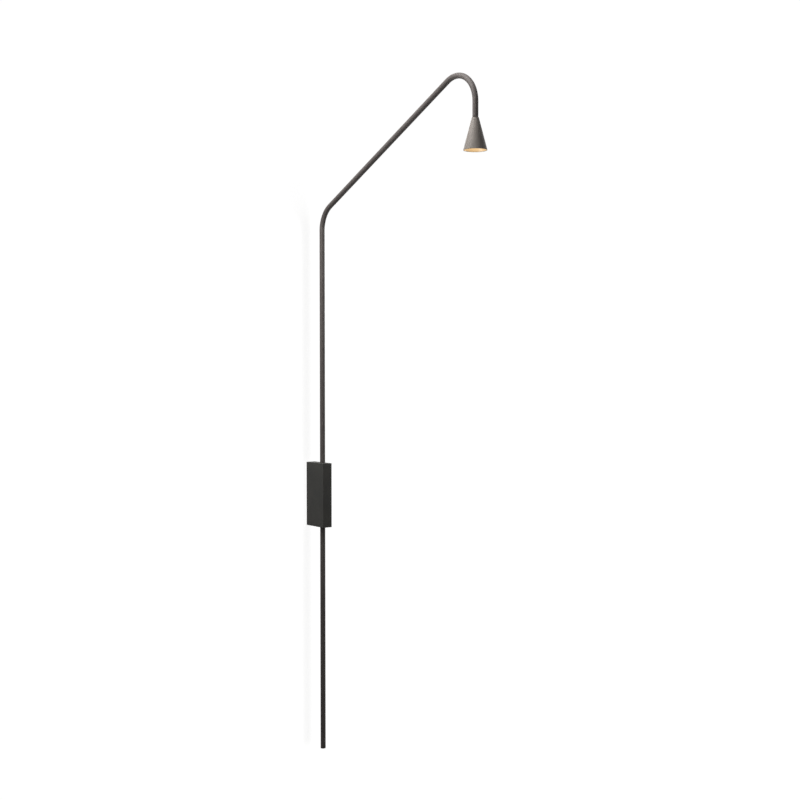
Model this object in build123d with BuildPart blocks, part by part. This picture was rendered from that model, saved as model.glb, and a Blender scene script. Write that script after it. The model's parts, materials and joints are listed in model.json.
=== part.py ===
from build123d import *
from math import asin, atan, cos, degrees, radians, sin, tan
import os

# Wall lamp: a flat box on the wall, and one bent tube that swivels in it and carries a small cone shade.
# The wall is the plane Y = 0, the room is towards -Y and Z is up. The origin is the middle of the
# wall plate's back face. All sizes are in millimetres.

# Housing on the wall
housing_width = 24.0
housing_depth = 70.0
housing_height = 150.0
housing_wall = 1.5
housing_end_wall = 3.0
housing_edge = 0.5
wall_gap = 0.3

# Bent tube
tube_diameter = 12.0
tube_wall = 1.0
mast_from_wall = 50.0
tail_below = 600.0
mast_above = 617.5
bend_radius = 60.0
arm_angle = 27.0
arm_length = 472.0
drop_length = 31.0

# End cap of the tail
cap_height = 4.5
cap_spigot = 8.0
cap_edge = 0.8

# Shade and the joint that carries it
shade_height = 65.0
shade_top_diameter = 14.0
shade_rim_diameter = 48.5
shade_wall = 1.0
shade_top_wall = 2.5
shade_edge = 0.3
seam_height = 1.0
seam_inset = 0.5
insert_length = 14.0
insert_thread = 8.0
insert_bore = 5.0

# Lamp inside the shade
sink_length = 20.0
sink_slot_width = 4.4
sink_slot_depth = 6.0
board_diameter = 21.0
board_thickness = 1.6
board_screw_circle = 15.0
board_screw_diameter = 2.0
board_screw_length = 5.0
board_screw_head = 3.6
chip_diameter = 8.2
chip_height = 1.0
dome_diameter = 7.0
dome_height = 0.5
cup_foot_height = 1.6
cup_height = 13.0
cup_wall = 1.0
lens_thickness = 3.0
ring_height = 5.0
ring_width = 1.2

# Wall plate
plate_thickness = 2.0
plate_corner = 1.5
tab_length = 12.0
tab_width = 16.0
tab_hole_from_wall = 8.0
wall_screw_hole = 4.5
wall_screw_edge = 8.7

# Cable entry
grommet_below_screw = 12.0
grommet_aside = 3.0
grommet_neck = 9.6
grommet_flange = 12.0
grommet_lip = 1.2
grommet_bore = 7.2

# Terminal block
block_below_grommet = 8.5
block_width = 18.0
block_height = 16.0
block_depth = 12.0
block_pitch = 6.0
pole_from_plate = 5.5
clamp_width = 4.4
clamp_height = 12.0
clamp_bore = 2.6
clamp_screw_diameter = 2.5
clamp_screw_length = 5.0
clamp_screw_spacing = 6.0
peg_diameter = 3.0

# Driver
driver_below_block = 7.0
driver_width = 18.0
driver_length = 34.0
driver_depth = 25.0
driver_wall = 1.2
lug_length = 5.0
lug_width = 8.0
lug_thickness = 2.0
driver_board_thickness = 1.6
driver_board_standoff = 1.5
transformer_width = 12.0
transformer_height = 12.5
transformer_depth = 11.0
transformer_core = 4.0
capacitor_diameter = 6.3
capacitor_length = 11.0
socket_width = 8.0
socket_depth = 6.0
socket_height = 6.0
socket_proud = 1.0
plug_height = 6.0
plug_from_wall = 17.0

# Leads
wire_diameter = 2.0
lead_diameter = 3.4
core_diameter = 1.1
core_bend_radius = 2.0
core_spread = 7.0
lead_straight = 1.5
anchor_length = 12.0
anchor_above_slot = 10.0

# Earth point
earth_below_screw = 4.5
lug_ring_diameter = 6.0
lug_ring_thickness = 0.8
lug_barrel_diameter = 3.0
lug_barrel_length = 4.0

# Screws
small_screw_diameter = 3.0
pan_head_diameter = 5.0
pan_head_height = 1.6
countersunk_diameter = 5.6
countersunk_angle = 82.0
grub_diameter = 3.0

# Swivel
swivel_range = 90.0
bush_wall = 1.0
bush_flange = 1.2
washer_thickness = 0.8
spring_thickness = 0.5
spring_height = 1.2
collar_wall = 3.0
collar_height = 7.0
stop_flange_height = 3.0
stop_pin_diameter = 3.0
stop_pin_seat = 2.0
stop_side_gap = 0.5
stop_margin = 0.5

# Clearances
running_clearance = 0.05
seat_clearance = 0.02
cone_clearance = 0.1
thread_clearance = 0.05
loose_clearance = 0.3
slot_clearance = 0.8

# Places worked out from the sizes above
tube_radius = tube_diameter / 2
tube_bore_radius = tube_radius - tube_wall
mast_y = -mast_from_wall
inner_half_width = housing_width / 2 - housing_wall
inner_half_height = housing_height / 2 - housing_end_wall
tube_low = -tail_below + cap_height

plate_width = 2 * (inner_half_width - loose_clearance)
plate_height = 2 * (inner_half_height - loose_clearance)
plate_front_y = -plate_thickness
tab_middle_z = (plate_height - plate_thickness) / 2
wall_screw_z = plate_height / 2 - wall_screw_edge
grommet_z = wall_screw_z - grommet_below_screw
block_top_z = grommet_z - block_below_grommet
block_low_z = block_top_z - block_height
clamp_middle_z = block_top_z - block_height / 2
earth_z = wall_screw_z - earth_below_screw
pole_y = plate_front_y - pole_from_plate
driver_top_z = block_low_z - driver_below_block
driver_low_z = driver_top_z - driver_length
driver_middle_z = (driver_top_z + driver_low_z) / 2
upper_lug_z = driver_top_z + lug_length / 2
lower_lug_z = driver_low_z - lug_length / 2
driver_back_y = plate_front_y - driver_wall
driver_board_y = driver_back_y - driver_board_standoff
driver_board_front_y = driver_board_y - driver_board_thickness
driver_front_y = plate_front_y - driver_depth
plug_y = -plug_from_wall
plug_top_z = driver_low_z - socket_proud
plug_low_z = plug_top_z - plug_height

loop_radius = (mast_from_wall - plug_from_wall) / 2
loop_top_z = plug_low_z - lead_straight
slot_width = lead_diameter + 2 * slot_clearance
anchor_low_z = loop_top_z + anchor_above_slot

bush_radius = tube_radius + running_clearance
sleeve_radius = bush_radius + bush_wall
collar_radius = tube_radius + collar_wall
stop_radius = inner_half_width - stop_side_gap
washer_radius = stop_radius - stop_pin_diameter / 2 - loose_clearance
pin_half_angle = degrees(asin(stop_pin_diameter / 2 / stop_radius))
stop_half_angle = 180 - swivel_range - pin_half_angle - stop_margin
flange_low_z = -inner_half_height + bush_flange
collar_low_z = flange_low_z + washer_thickness
collar_body_z = collar_low_z + stop_flange_height
upper_flange_z = inner_half_height - bush_flange
upper_collar_z = upper_flange_z - spring_height - collar_height

low_tangent = bend_radius * tan(radians(90 - arm_angle) / 2)
high_tangent = bend_radius * tan(radians(90 + arm_angle) / 2)
arm_run = arm_length + low_tangent + high_tangent
low_corner_z = mast_above + low_tangent
high_corner_z = low_corner_z + arm_run * sin(radians(arm_angle))
shade_y = mast_y - arm_run * cos(radians(arm_angle))
drop_end_z = high_corner_z - high_tangent - drop_length
shade_top_z = drop_end_z - seam_height

shade_slope = (shade_rim_diameter - shade_top_diameter) / 2 / shade_height
sink_depth = shade_top_wall + sink_length
board_depth = sink_depth + board_thickness
lens_depth = board_depth + cup_height
ring_depth = lens_depth + lens_thickness
lead_end_depth = sink_depth - sink_slot_depth - wire_diameter

mast_axis = Axis((0, mast_y, 0), (0, 0, 1))
shade_axis = Axis((0, shade_y, 0), (0, 0, 1))
mast_plane = Plane(origin=(0, mast_y, 0), x_dir=(1, 0, 0), z_dir=(0, -1, 0))
shade_plane = Plane(origin=(0, shade_y, shade_top_z), x_dir=(1, 0, 0), z_dir=(0, -1, 0))

parts_folder = "parts"
os.makedirs(parts_folder, exist_ok=True)


def finish(builder, name):
    # The label and the file carry the piece's own name.
    builder.part.label = name
    export_step(builder.part, f"{parts_folder}/{name}.step")


def shade_inner_radius(depth):
    # Radius of the cone's inner wall at a depth below the shade's top.
    return shade_top_diameter / 2 + shade_slope * depth - shade_wall / cos(atan(shade_slope))


def below_shade_top(depth):
    # Horizontal plane across the shade at a depth below its top.
    return Plane(origin=(0, shade_y, shade_top_z - depth))


def pan_screw(diameter, length, head_diameter, head_height):
    # Pan head screw, its head's seat at the origin and its shank along -Z.
    recess_width = head_diameter / 7
    recess_length = head_diameter / 2
    with BuildPart() as screw:
        with BuildSketch():
            Circle(head_diameter / 2)
        extrude(amount=head_height)
        fillet(screw.edges().sort_by(Axis.Z)[-1], radius=head_height / 2)
        with BuildSketch():
            Circle(diameter / 2)
        extrude(amount=-length)
        with BuildSketch(Plane.XY.offset(head_height)):
            Rectangle(recess_length, recess_width)
            Rectangle(recess_width, recess_length)
        extrude(amount=-head_height / 2, mode=Mode.SUBTRACT)
    return screw.part


def countersunk_screw(diameter, length, head_diameter, head_angle):
    # Countersunk screw, the top of its head at the origin and its shank along -Z.
    head_height = (head_diameter - diameter) / 2 / tan(radians(head_angle / 2))
    with BuildPart() as screw:
        with BuildSketch(Plane.XZ):
            with BuildLine():
                Polyline(
                    (0, 0),
                    (head_diameter / 2, 0),
                    (diameter / 2, -head_height),
                    (diameter / 2, -length),
                    (0, -length),
                    close=True,
                )
            make_face()
        revolve(axis=Axis.Z)
        with BuildSketch():
            RegularPolygon(radius=diameter / 3, side_count=6)
        extrude(amount=-head_height, mode=Mode.SUBTRACT)
    return screw.part


def grub_screw(diameter, length):
    # Headless screw from the origin along -Z, with a hexagon socket.
    with BuildPart() as screw:
        with BuildSketch():
            Circle(diameter / 2)
        extrude(amount=-length)
        with BuildSketch():
            RegularPolygon(radius=diameter / 3, side_count=6)
        extrude(amount=-length / 2, mode=Mode.SUBTRACT)
    return screw.part


# Wall plate: a flat steel plate with a tab bent forward at each end
with BuildPart() as wall_plate:
    with BuildSketch(Plane.XZ):
        RectangleRounded(plate_width, plate_height, plate_corner)
    extrude(amount=plate_thickness)
    with BuildSketch(Plane.XZ):
        with Locations((0, tab_middle_z), (0, -tab_middle_z)):
            Rectangle(tab_width, plate_thickness)
    extrude(amount=plate_thickness + tab_length)
    with BuildSketch(Plane.XY.offset(-plate_height / 2)):
        with Locations((0, -tab_hole_from_wall)):
            Circle(small_screw_diameter / 2 + thread_clearance)
    extrude(amount=plate_height, mode=Mode.SUBTRACT)
    with BuildSketch(Plane.XZ):
        with Locations((0, wall_screw_z), (0, -wall_screw_z)):
            Circle(wall_screw_hole / 2)
        with Locations((grommet_aside, grommet_z)):
            Circle(grommet_neck / 2 + seat_clearance)
        with Locations((-block_pitch, earth_z), (0, upper_lug_z), (0, lower_lug_z)):
            Circle(small_screw_diameter / 2 + thread_clearance)
        with Locations((block_pitch / 2, clamp_middle_z), (-block_pitch / 2, clamp_middle_z)):
            Circle(peg_diameter / 2 + seat_clearance)
    extrude(amount=plate_thickness, mode=Mode.SUBTRACT)
finish(wall_plate, "wall_plate")

# Cable grommet: a rubber ring whose groove holds the plate's edge, flush with the wall side
with BuildPart() as cable_grommet:
    with BuildSketch(Plane.XZ):
        with Locations((grommet_aside, grommet_z)):
            Circle(grommet_neck / 2)
    extrude(amount=plate_thickness + grommet_lip)
    with BuildSketch(Plane.XZ.offset(plate_thickness)):
        with Locations((grommet_aside, grommet_z)):
            Circle(grommet_flange / 2)
    extrude(amount=grommet_lip)
    with BuildSketch(Plane.XZ):
        with Locations((grommet_aside, grommet_z)):
            Circle(grommet_bore / 2)
    extrude(amount=plate_thickness + grommet_lip, mode=Mode.SUBTRACT)
finish(cable_grommet, "cable_grommet")

# Terminal block: three poles side by side, wire ways along Z, screw ways along Y
clamp_pocket = clamp_width + 2 * seat_clearance
clamp_low_z = block_low_z + (block_height - clamp_height) / 2
pole_xs = (-block_pitch, 0, block_pitch)
screw_zs = (clamp_middle_z - clamp_screw_spacing / 2, clamp_middle_z + clamp_screw_spacing / 2)
pole_places = [(x, pole_y) for x in pole_xs]
screw_places = [(x, z) for x in pole_xs for z in screw_zs]

with BuildPart() as terminal_block:
    with BuildSketch(Plane.XZ.offset(plate_thickness)):
        with Locations((0, clamp_middle_z)):
            Rectangle(block_width, block_height)
    extrude(amount=block_depth)
    with BuildSketch(Plane.XZ):
        with Locations((block_pitch / 2, clamp_middle_z), (-block_pitch / 2, clamp_middle_z)):
            Circle(peg_diameter / 2)
    extrude(amount=plate_thickness)
    with BuildSketch(Plane.XY.offset(block_low_z)):
        with Locations(*pole_places):
            Circle(wire_diameter / 2 + loose_clearance)
    extrude(amount=block_height, mode=Mode.SUBTRACT)
    with BuildSketch(Plane.XY.offset(block_low_z)):
        with Locations(*pole_places):
            Rectangle(clamp_pocket, clamp_pocket)
    extrude(amount=clamp_low_z + clamp_height - block_low_z, mode=Mode.SUBTRACT)
    with BuildSketch(Plane.XZ.offset(-pole_y)):
        with Locations(*screw_places):
            Circle(clamp_screw_diameter / 2 + loose_clearance)
    extrude(amount=block_depth, mode=Mode.SUBTRACT)
finish(terminal_block, "terminal_block")

with BuildPart() as terminal_clamps:
    with BuildSketch(Plane.XY.offset(clamp_low_z)):
        with Locations(*pole_places):
            Rectangle(clamp_width, clamp_width)
            Circle(clamp_bore / 2, mode=Mode.SUBTRACT)
    extrude(amount=clamp_height)
    with BuildSketch(Plane.XZ.offset(-pole_y)):
        with Locations(*screw_places):
            Circle(clamp_screw_diameter / 2 + thread_clearance)
    extrude(amount=clamp_width, mode=Mode.SUBTRACT)
finish(terminal_clamps, "terminal_clamps")

clamp_screw = grub_screw(clamp_screw_diameter, clamp_screw_length)
clamp_screw_y = pole_y - clamp_bore / 2 - clamp_screw_length
with BuildPart() as terminal_screws:
    with Locations(Plane.XZ.offset(-clamp_screw_y)):
        with Locations(*screw_places):
            add(clamp_screw)
finish(terminal_screws, "terminal_screws")

# Earth point: ring lug on the plate, its screw, and a short lead up from the first pole
barrel_y = plate_front_y - lug_barrel_diameter / 2
barrel_top_z = earth_z - pan_head_diameter / 2 - seat_clearance
barrel_low_z = barrel_top_z - lug_barrel_length
with BuildPart() as earth_lug:
    with BuildSketch(Plane.XZ.offset(plate_thickness)):
        with Locations((-block_pitch, earth_z)):
            Circle(lug_ring_diameter / 2)
        with Locations((-block_pitch, (earth_z + barrel_top_z) / 2)):
            Rectangle(lug_barrel_diameter, earth_z - barrel_top_z)
        with Locations((-block_pitch, earth_z)):
            Circle(small_screw_diameter / 2 + thread_clearance, mode=Mode.SUBTRACT)
    extrude(amount=lug_ring_thickness)
    with BuildSketch(Plane.XY.offset(barrel_low_z)):
        with Locations((-block_pitch, barrel_y)):
            Circle(lug_barrel_diameter / 2)
    extrude(amount=lug_barrel_length)
finish(earth_lug, "earth_lug")

earth_blank = pan_screw(
    small_screw_diameter, plate_thickness + lug_ring_thickness, pan_head_diameter, pan_head_height
)
with BuildPart() as earth_screw:
    with Locations(Plane.XZ.offset(plate_thickness + lug_ring_thickness)):
        with Locations((-block_pitch, earth_z)):
            add(earth_blank)
finish(earth_screw, "earth_screw")

wire_end_z = clamp_middle_z + clamp_screw_spacing / 2
rise = barrel_low_z - block_top_z
swing = barrel_y - pole_y
swing_angle = 2 * degrees(atan(swing / rise))
swing_radius = rise / 2 / sin(radians(swing_angle))
with BuildPart() as earth_lead:
    with BuildLine(Plane(origin=(-block_pitch, 0, 0), x_dir=(0, 1, 0), z_dir=(1, 0, 0))):
        Line((pole_y, wire_end_z), (pole_y, block_top_z))
        lower_swing = JernArc((pole_y, block_top_z), (0, 1), swing_radius, -swing_angle)
        JernArc(lower_swing @ 1, lower_swing % 1, swing_radius, swing_angle)
    with BuildSketch(Plane(origin=(-block_pitch, pole_y, wire_end_z))):
        Circle(wire_diameter / 2)
    sweep()
finish(earth_lead, "earth_lead")

# Mains leads from the two other poles straight down into the driver
wire_low_z = driver_top_z - driver_wall - wire_diameter * 2
with BuildPart() as mains_leads:
    with BuildSketch(Plane.XY.offset(wire_low_z)):
        with Locations((0, pole_y), (block_pitch, pole_y)):
            Circle(wire_diameter / 2)
    extrude(amount=clamp_middle_z - clamp_screw_spacing / 2 - wire_low_z)
finish(mains_leads, "mains_leads")

# Driver: an open tray on the plate with a lug at each end, closed by a cover
driver_inner_width = driver_width - 2 * driver_wall
driver_inner_length = driver_length - 2 * driver_wall
driver_rim_y = driver_front_y + driver_wall
cover_hole_width = driver_inner_width - 2 * driver_wall
cover_hole_length = driver_inner_length - 2 * driver_wall
with BuildPart() as driver_tray:
    with BuildSketch(Plane.XZ.offset(plate_thickness)):
        with Locations((0, driver_middle_z)):
            Rectangle(driver_width, driver_length)
    extrude(amount=driver_depth - driver_wall)
    with BuildSketch(Plane.XZ.offset(plate_thickness)):
        with Locations((0, driver_middle_z)):
            Rectangle(lug_width, driver_length + 2 * lug_length)
    extrude(amount=lug_thickness)
    with BuildSketch(Plane.XZ.offset(-driver_back_y)):
        with Locations((0, driver_middle_z)):
            Rectangle(driver_inner_width, driver_inner_length)
    extrude(amount=driver_depth, mode=Mode.SUBTRACT)
    with BuildSketch(Plane.XZ.offset(plate_thickness)):
        with Locations((0, upper_lug_z), (0, lower_lug_z)):
            Circle(small_screw_diameter / 2 + thread_clearance)
    extrude(amount=lug_thickness, mode=Mode.SUBTRACT)
    with BuildSketch(Plane.XY.offset(driver_top_z - driver_wall)):
        with Locations((0, pole_y), (block_pitch, pole_y)):
            Circle(wire_diameter / 2 + seat_clearance)
    extrude(amount=driver_wall, mode=Mode.SUBTRACT)
    with BuildSketch(Plane.XY.offset(driver_low_z)):
        with Locations((0, plug_y)):
            Rectangle(socket_width + 2 * seat_clearance, socket_depth + 2 * seat_clearance)
    extrude(amount=driver_wall, mode=Mode.SUBTRACT)
finish(driver_tray, "driver_tray")

with BuildPart() as driver_cover:
    with BuildSketch(Plane.XZ.offset(-driver_rim_y)):
        with Locations((0, driver_middle_z)):
            RectangleRounded(driver_width, driver_length, driver_wall)
    extrude(amount=driver_wall)
    with BuildSketch(Plane.XZ.offset(-driver_rim_y)):
        with Locations((0, driver_middle_z)):
            Rectangle(driver_inner_width - 2 * seat_clearance, driver_inner_length - 2 * seat_clearance)
            Rectangle(cover_hole_width, cover_hole_length, mode=Mode.SUBTRACT)
    extrude(amount=-driver_wall)
finish(driver_cover, "driver_cover")

with BuildPart() as driver_board:
    with BuildSketch(Plane.XZ.offset(-driver_board_y)):
        with Locations((0, driver_middle_z)):
            Rectangle(driver_inner_width - 2 * seat_clearance, driver_inner_length - 2 * seat_clearance)
    extrude(amount=driver_board_thickness)
    with BuildSketch(Plane.XZ.offset(-driver_back_y)):
        with Locations((0, driver_middle_z)):
            with GridLocations(cover_hole_width, cover_hole_length, 2, 2):
                Circle(driver_wall / 2)
    extrude(amount=driver_board_standoff)
finish(driver_board, "driver_board")

transformer_z = driver_top_z - driver_wall - wire_diameter * 2 - transformer_height / 2 - loose_clearance
with BuildPart() as driver_transformer:
    with BuildSketch(Plane.XZ.offset(-driver_board_front_y)):
        with Locations((0, transformer_z)):
            Rectangle(transformer_width, transformer_height)
    extrude(amount=transformer_depth)
    with BuildSketch(Plane.XZ.offset(-driver_board_front_y + transformer_core)):
        with Locations((0, transformer_z)):
            Rectangle(transformer_width - transformer_core, transformer_height)
            Rectangle(transformer_core, transformer_height, mode=Mode.SUBTRACT)
    extrude(amount=transformer_core, mode=Mode.SUBTRACT)
finish(driver_transformer, "driver_transformer")

winding_width = transformer_width - transformer_core - 2 * seat_clearance
with BuildPart() as driver_winding:
    with BuildSketch(Plane.XZ.offset(-driver_board_front_y + transformer_core + seat_clearance)):
        with Locations((0, transformer_z)):
            Rectangle(winding_width, transformer_height - 2 * driver_wall)
            Rectangle(transformer_core + 2 * seat_clearance, transformer_height, mode=Mode.SUBTRACT)
    extrude(amount=transformer_core - 2 * seat_clearance)
finish(driver_winding, "driver_winding")

capacitor_z = plug_top_z + socket_height + capacitor_diameter / 2 + loose_clearance
capacitor_x = driver_inner_width / 2 - capacitor_diameter / 2 - loose_clearance
with BuildPart() as driver_capacitors:
    with BuildSketch(Plane.XZ.offset(-driver_board_front_y)):
        with Locations((capacitor_x, capacitor_z), (-capacitor_x, capacitor_z)):
            Circle(capacitor_diameter / 2)
    extrude(amount=capacitor_length)
finish(driver_capacitors, "driver_capacitors")

with BuildPart() as driver_socket:
    with BuildSketch(Plane.XY.offset(plug_top_z)):
        with Locations((0, plug_y)):
            Rectangle(socket_width, socket_depth)
    extrude(amount=socket_height)
finish(driver_socket, "driver_socket")

driver_screw = pan_screw(
    small_screw_diameter, plate_thickness + lug_thickness, pan_head_diameter, pan_head_height
)
with BuildPart() as driver_screws:
    with Locations(Plane.XZ.offset(plate_thickness + lug_thickness)):
        with Locations((0, upper_lug_z), (0, lower_lug_z)):
            add(driver_screw)
finish(driver_screws, "driver_screws")

# Lead from the driver: a plug, a slack loop, then one lead through the whole tube
with BuildPart() as led_plug:
    with BuildSketch(Plane.XY.offset(plug_low_z)):
        with Locations((0, plug_y)):
            RectangleRounded(socket_width, socket_depth, wire_diameter / 2)
    extrude(amount=plug_height)
finish(led_plug, "led_plug")

with BuildPart() as led_lead_loop:
    with BuildLine(Plane.YZ):
        Line((plug_y, plug_low_z), (plug_y, loop_top_z))
        JernArc((plug_y, loop_top_z), (0, -1), loop_radius, -180)
    with BuildSketch(Plane(origin=(0, plug_y, plug_low_z), z_dir=(0, 0, -1))):
        Circle(lead_diameter / 2)
    sweep()
finish(led_lead_loop, "led_lead_loop")

# Bent tube: tail, mast, arm and drop, with a slot in the back of the mast for the lead
slot_from_axis = tube_bore_radius / 2
with BuildPart() as mast_tube:
    with BuildLine(Plane.YZ):
        FilletPolyline(
            (mast_y, tube_low),
            (mast_y, low_corner_z),
            (shade_y, high_corner_z),
            (shade_y, drop_end_z),
            radius=bend_radius,
        )
    with BuildSketch(Plane.XY.offset(tube_low)):
        with Locations((0, mast_y)):
            Circle(tube_radius)
            Circle(tube_bore_radius, mode=Mode.SUBTRACT)
    sweep()
    with BuildSketch(Plane.XZ.offset(-mast_y - slot_from_axis)):
        with Locations((0, loop_top_z - loop_radius / 2)):
            SlotOverall(loop_radius + slot_width, slot_width, rotation=90)
    extrude(amount=-tube_diameter, mode=Mode.SUBTRACT)
finish(mast_tube, "mast_tube")

with BuildPart() as led_lead:
    with BuildLine(Plane.YZ):
        FilletPolyline(
            (mast_y, loop_top_z),
            (mast_y, low_corner_z),
            (shade_y, high_corner_z),
            (shade_y, shade_top_z - lead_end_depth),
            radius=bend_radius,
        )
    with BuildSketch(Plane(origin=(0, mast_y, loop_top_z))):
        Circle(lead_diameter / 2)
    sweep()
finish(led_lead, "led_lead")

# Lead anchor: a rubber bung that grips the lead in the mast above the slot
with BuildPart() as lead_anchor:
    with BuildSketch(Plane.XY.offset(anchor_low_z)):
        with Locations((0, mast_y)):
            Circle(tube_bore_radius - seat_clearance)
            Circle(lead_diameter / 2 + seat_clearance, mode=Mode.SUBTRACT)
    extrude(amount=anchor_length)
finish(lead_anchor, "lead_anchor")

with BuildPart() as end_cap:
    with BuildSketch(Plane.XY.offset(-tail_below)):
        with Locations((0, mast_y)):
            Circle(tube_radius)
    extrude(amount=cap_height)
    fillet(end_cap.edges().sort_by(Axis.Z)[0], radius=cap_edge)
    with BuildSketch(Plane.XY.offset(tube_low)):
        with Locations((0, mast_y)):
            Circle(tube_bore_radius - seat_clearance)
    extrude(amount=cap_spigot)
finish(end_cap, "end_cap")

# Swivel: flanged bushes in the end walls, a washer and a stop collar below, a spring and a collar above
pin_y = mast_y + stop_radius
bush_flange_half = inner_half_width - loose_clearance
with BuildPart() as bottom_bush:
    with BuildSketch(Plane.XY.offset(-housing_height / 2)):
        with Locations((0, mast_y)):
            Circle(sleeve_radius)
    extrude(amount=housing_end_wall)
    with BuildSketch(Plane.XY.offset(-inner_half_height)):
        with Locations((0, mast_y)):
            Rectangle(2 * bush_flange_half, 2 * bush_flange_half + stop_pin_diameter)
        with Locations((0, pin_y)):
            Circle(stop_pin_diameter / 2 + seat_clearance, mode=Mode.SUBTRACT)
    extrude(amount=bush_flange)
    with BuildSketch(Plane.XY.offset(-housing_height / 2)):
        with Locations((0, mast_y)):
            Circle(bush_radius)
    extrude(amount=housing_height, mode=Mode.SUBTRACT)
finish(bottom_bush, "bottom_bush")

with BuildPart() as top_bush:
    with BuildSketch(Plane.XY.offset(inner_half_height)):
        with Locations((0, mast_y)):
            Circle(sleeve_radius)
    extrude(amount=housing_end_wall)
    with BuildSketch(Plane.XY.offset(upper_flange_z)):
        with Locations((0, mast_y)):
            Rectangle(2 * bush_flange_half, 2 * bush_flange_half)
    extrude(amount=bush_flange)
    with BuildSketch(Plane.XY.offset(upper_flange_z)):
        with Locations((0, mast_y)):
            Circle(bush_radius)
    extrude(amount=housing_height, mode=Mode.SUBTRACT)
finish(top_bush, "top_bush")

with BuildPart() as thrust_washer:
    with BuildSketch(Plane.XY.offset(flange_low_z)):
        with Locations((0, mast_y)):
            Circle(washer_radius)
            Circle(tube_radius + loose_clearance, mode=Mode.SUBTRACT)
    extrude(amount=washer_thickness)
finish(thrust_washer, "thrust_washer")

with BuildPart() as disc_spring:
    with BuildSketch(mast_plane):
        with BuildLine():
            Polyline(
                (tube_radius + loose_clearance, upper_flange_z),
                (tube_radius + loose_clearance, upper_flange_z - spring_thickness),
                (collar_radius, upper_flange_z - spring_height),
                (collar_radius, upper_flange_z - spring_height + spring_thickness),
                close=True,
            )
        make_face()
    revolve(axis=mast_axis)
finish(disc_spring, "disc_spring")

grub_length = collar_wall - seat_clearance
with BuildPart() as stop_collar:
    with BuildSketch(Plane.XY.offset(collar_low_z)):
        with BuildLine(Plane(origin=(0, mast_y, 0))):
            sector_arc = CenterArc((0, 0), stop_radius, -90 - stop_half_angle, 2 * stop_half_angle)
            Line((0, 0), sector_arc @ 0)
            Line((0, 0), sector_arc @ 1)
        make_face()
        with Locations((0, mast_y)):
            Circle(washer_radius)
    extrude(amount=stop_flange_height)
    with BuildSketch(Plane.XY.offset(collar_body_z)):
        with Locations((0, mast_y)):
            Circle(collar_radius)
    extrude(amount=collar_height)
    with BuildSketch(Plane.XY.offset(collar_low_z)):
        with Locations((0, mast_y)):
            Circle(tube_radius + seat_clearance)
    extrude(amount=housing_height, mode=Mode.SUBTRACT)
    with BuildSketch(Plane.XZ.offset(-mast_y)):
        with Locations((0, collar_body_z + collar_height / 2)):
            Circle(grub_diameter / 2 + thread_clearance)
    extrude(amount=-collar_radius, mode=Mode.SUBTRACT)
finish(stop_collar, "stop_collar")

with BuildPart() as upper_collar:
    with BuildSketch(Plane.XY.offset(upper_collar_z)):
        with Locations((0, mast_y)):
            Circle(collar_radius)
            Circle(tube_radius + seat_clearance, mode=Mode.SUBTRACT)
    extrude(amount=collar_height)
    with BuildSketch(Plane.XZ.offset(-mast_y)):
        with Locations((0, upper_collar_z + collar_height / 2)):
            Circle(grub_diameter / 2 + thread_clearance)
    extrude(amount=-collar_radius, mode=Mode.SUBTRACT)
finish(upper_collar, "upper_collar")

collar_grub = grub_screw(grub_diameter, grub_length)
grub_head_y = mast_y + collar_radius
with BuildPart() as collar_screws:
    with Locations(
        Location((0, grub_head_y, collar_body_z + collar_height / 2), (-90, 0, 0)),
        Location((0, grub_head_y, upper_collar_z + collar_height / 2), (-90, 0, 0)),
    ):
        add(collar_grub)
finish(collar_screws, "collar_screws")

with BuildPart() as stop_pin:
    with BuildSketch(Plane.XY.offset(-inner_half_height - stop_pin_seat)):
        with Locations((0, pin_y)):
            Circle(stop_pin_diameter / 2)
    extrude(amount=stop_pin_seat + inner_half_height + collar_body_z - loose_clearance)
finish(stop_pin, "stop_pin")

# Housing: a box open to the wall, with the mast's two holes and two countersunk screw holes
with BuildPart() as housing:
    with BuildSketch(Plane.XZ.offset(wall_gap)):
        Rectangle(housing_width, housing_height)
    extrude(amount=housing_depth - wall_gap)
    fillet(housing.edges().filter_by(Axis.Y), radius=housing_edge)
    fillet(housing.faces().sort_by(Axis.Y)[0].edges(), radius=housing_edge)
    with BuildSketch(Plane.XZ.offset(wall_gap)):
        Rectangle(2 * inner_half_width, 2 * inner_half_height)
    extrude(amount=housing_depth - wall_gap - housing_wall, mode=Mode.SUBTRACT)
    with BuildSketch(Plane.XY.offset(-housing_height / 2)):
        with Locations((0, mast_y)):
            Circle(sleeve_radius + seat_clearance)
    extrude(amount=housing_height, mode=Mode.SUBTRACT)
    with Locations(
        Location((0, -tab_hole_from_wall, housing_height / 2)),
        Location((0, -tab_hole_from_wall, -housing_height / 2), (180, 0, 0)),
    ):
        CounterSinkHole(
            radius=small_screw_diameter / 2 + thread_clearance,
            counter_sink_radius=countersunk_diameter / 2 + seat_clearance,
            depth=housing_end_wall,
            counter_sink_angle=countersunk_angle,
        )
    with Locations((0, pin_y, -inner_half_height)):
        Hole(radius=stop_pin_diameter / 2 + seat_clearance, depth=stop_pin_seat)
finish(housing, "housing")

housing_screw = countersunk_screw(
    small_screw_diameter,
    housing_end_wall + loose_clearance + plate_thickness,
    countersunk_diameter,
    countersunk_angle,
)
with BuildPart() as housing_screws:
    with Locations(
        Location((0, -tab_hole_from_wall, housing_height / 2)),
        Location((0, -tab_hole_from_wall, -housing_height / 2), (180, 0, 0)),
    ):
        add(housing_screw)
finish(housing_screws, "housing_screws")

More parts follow.
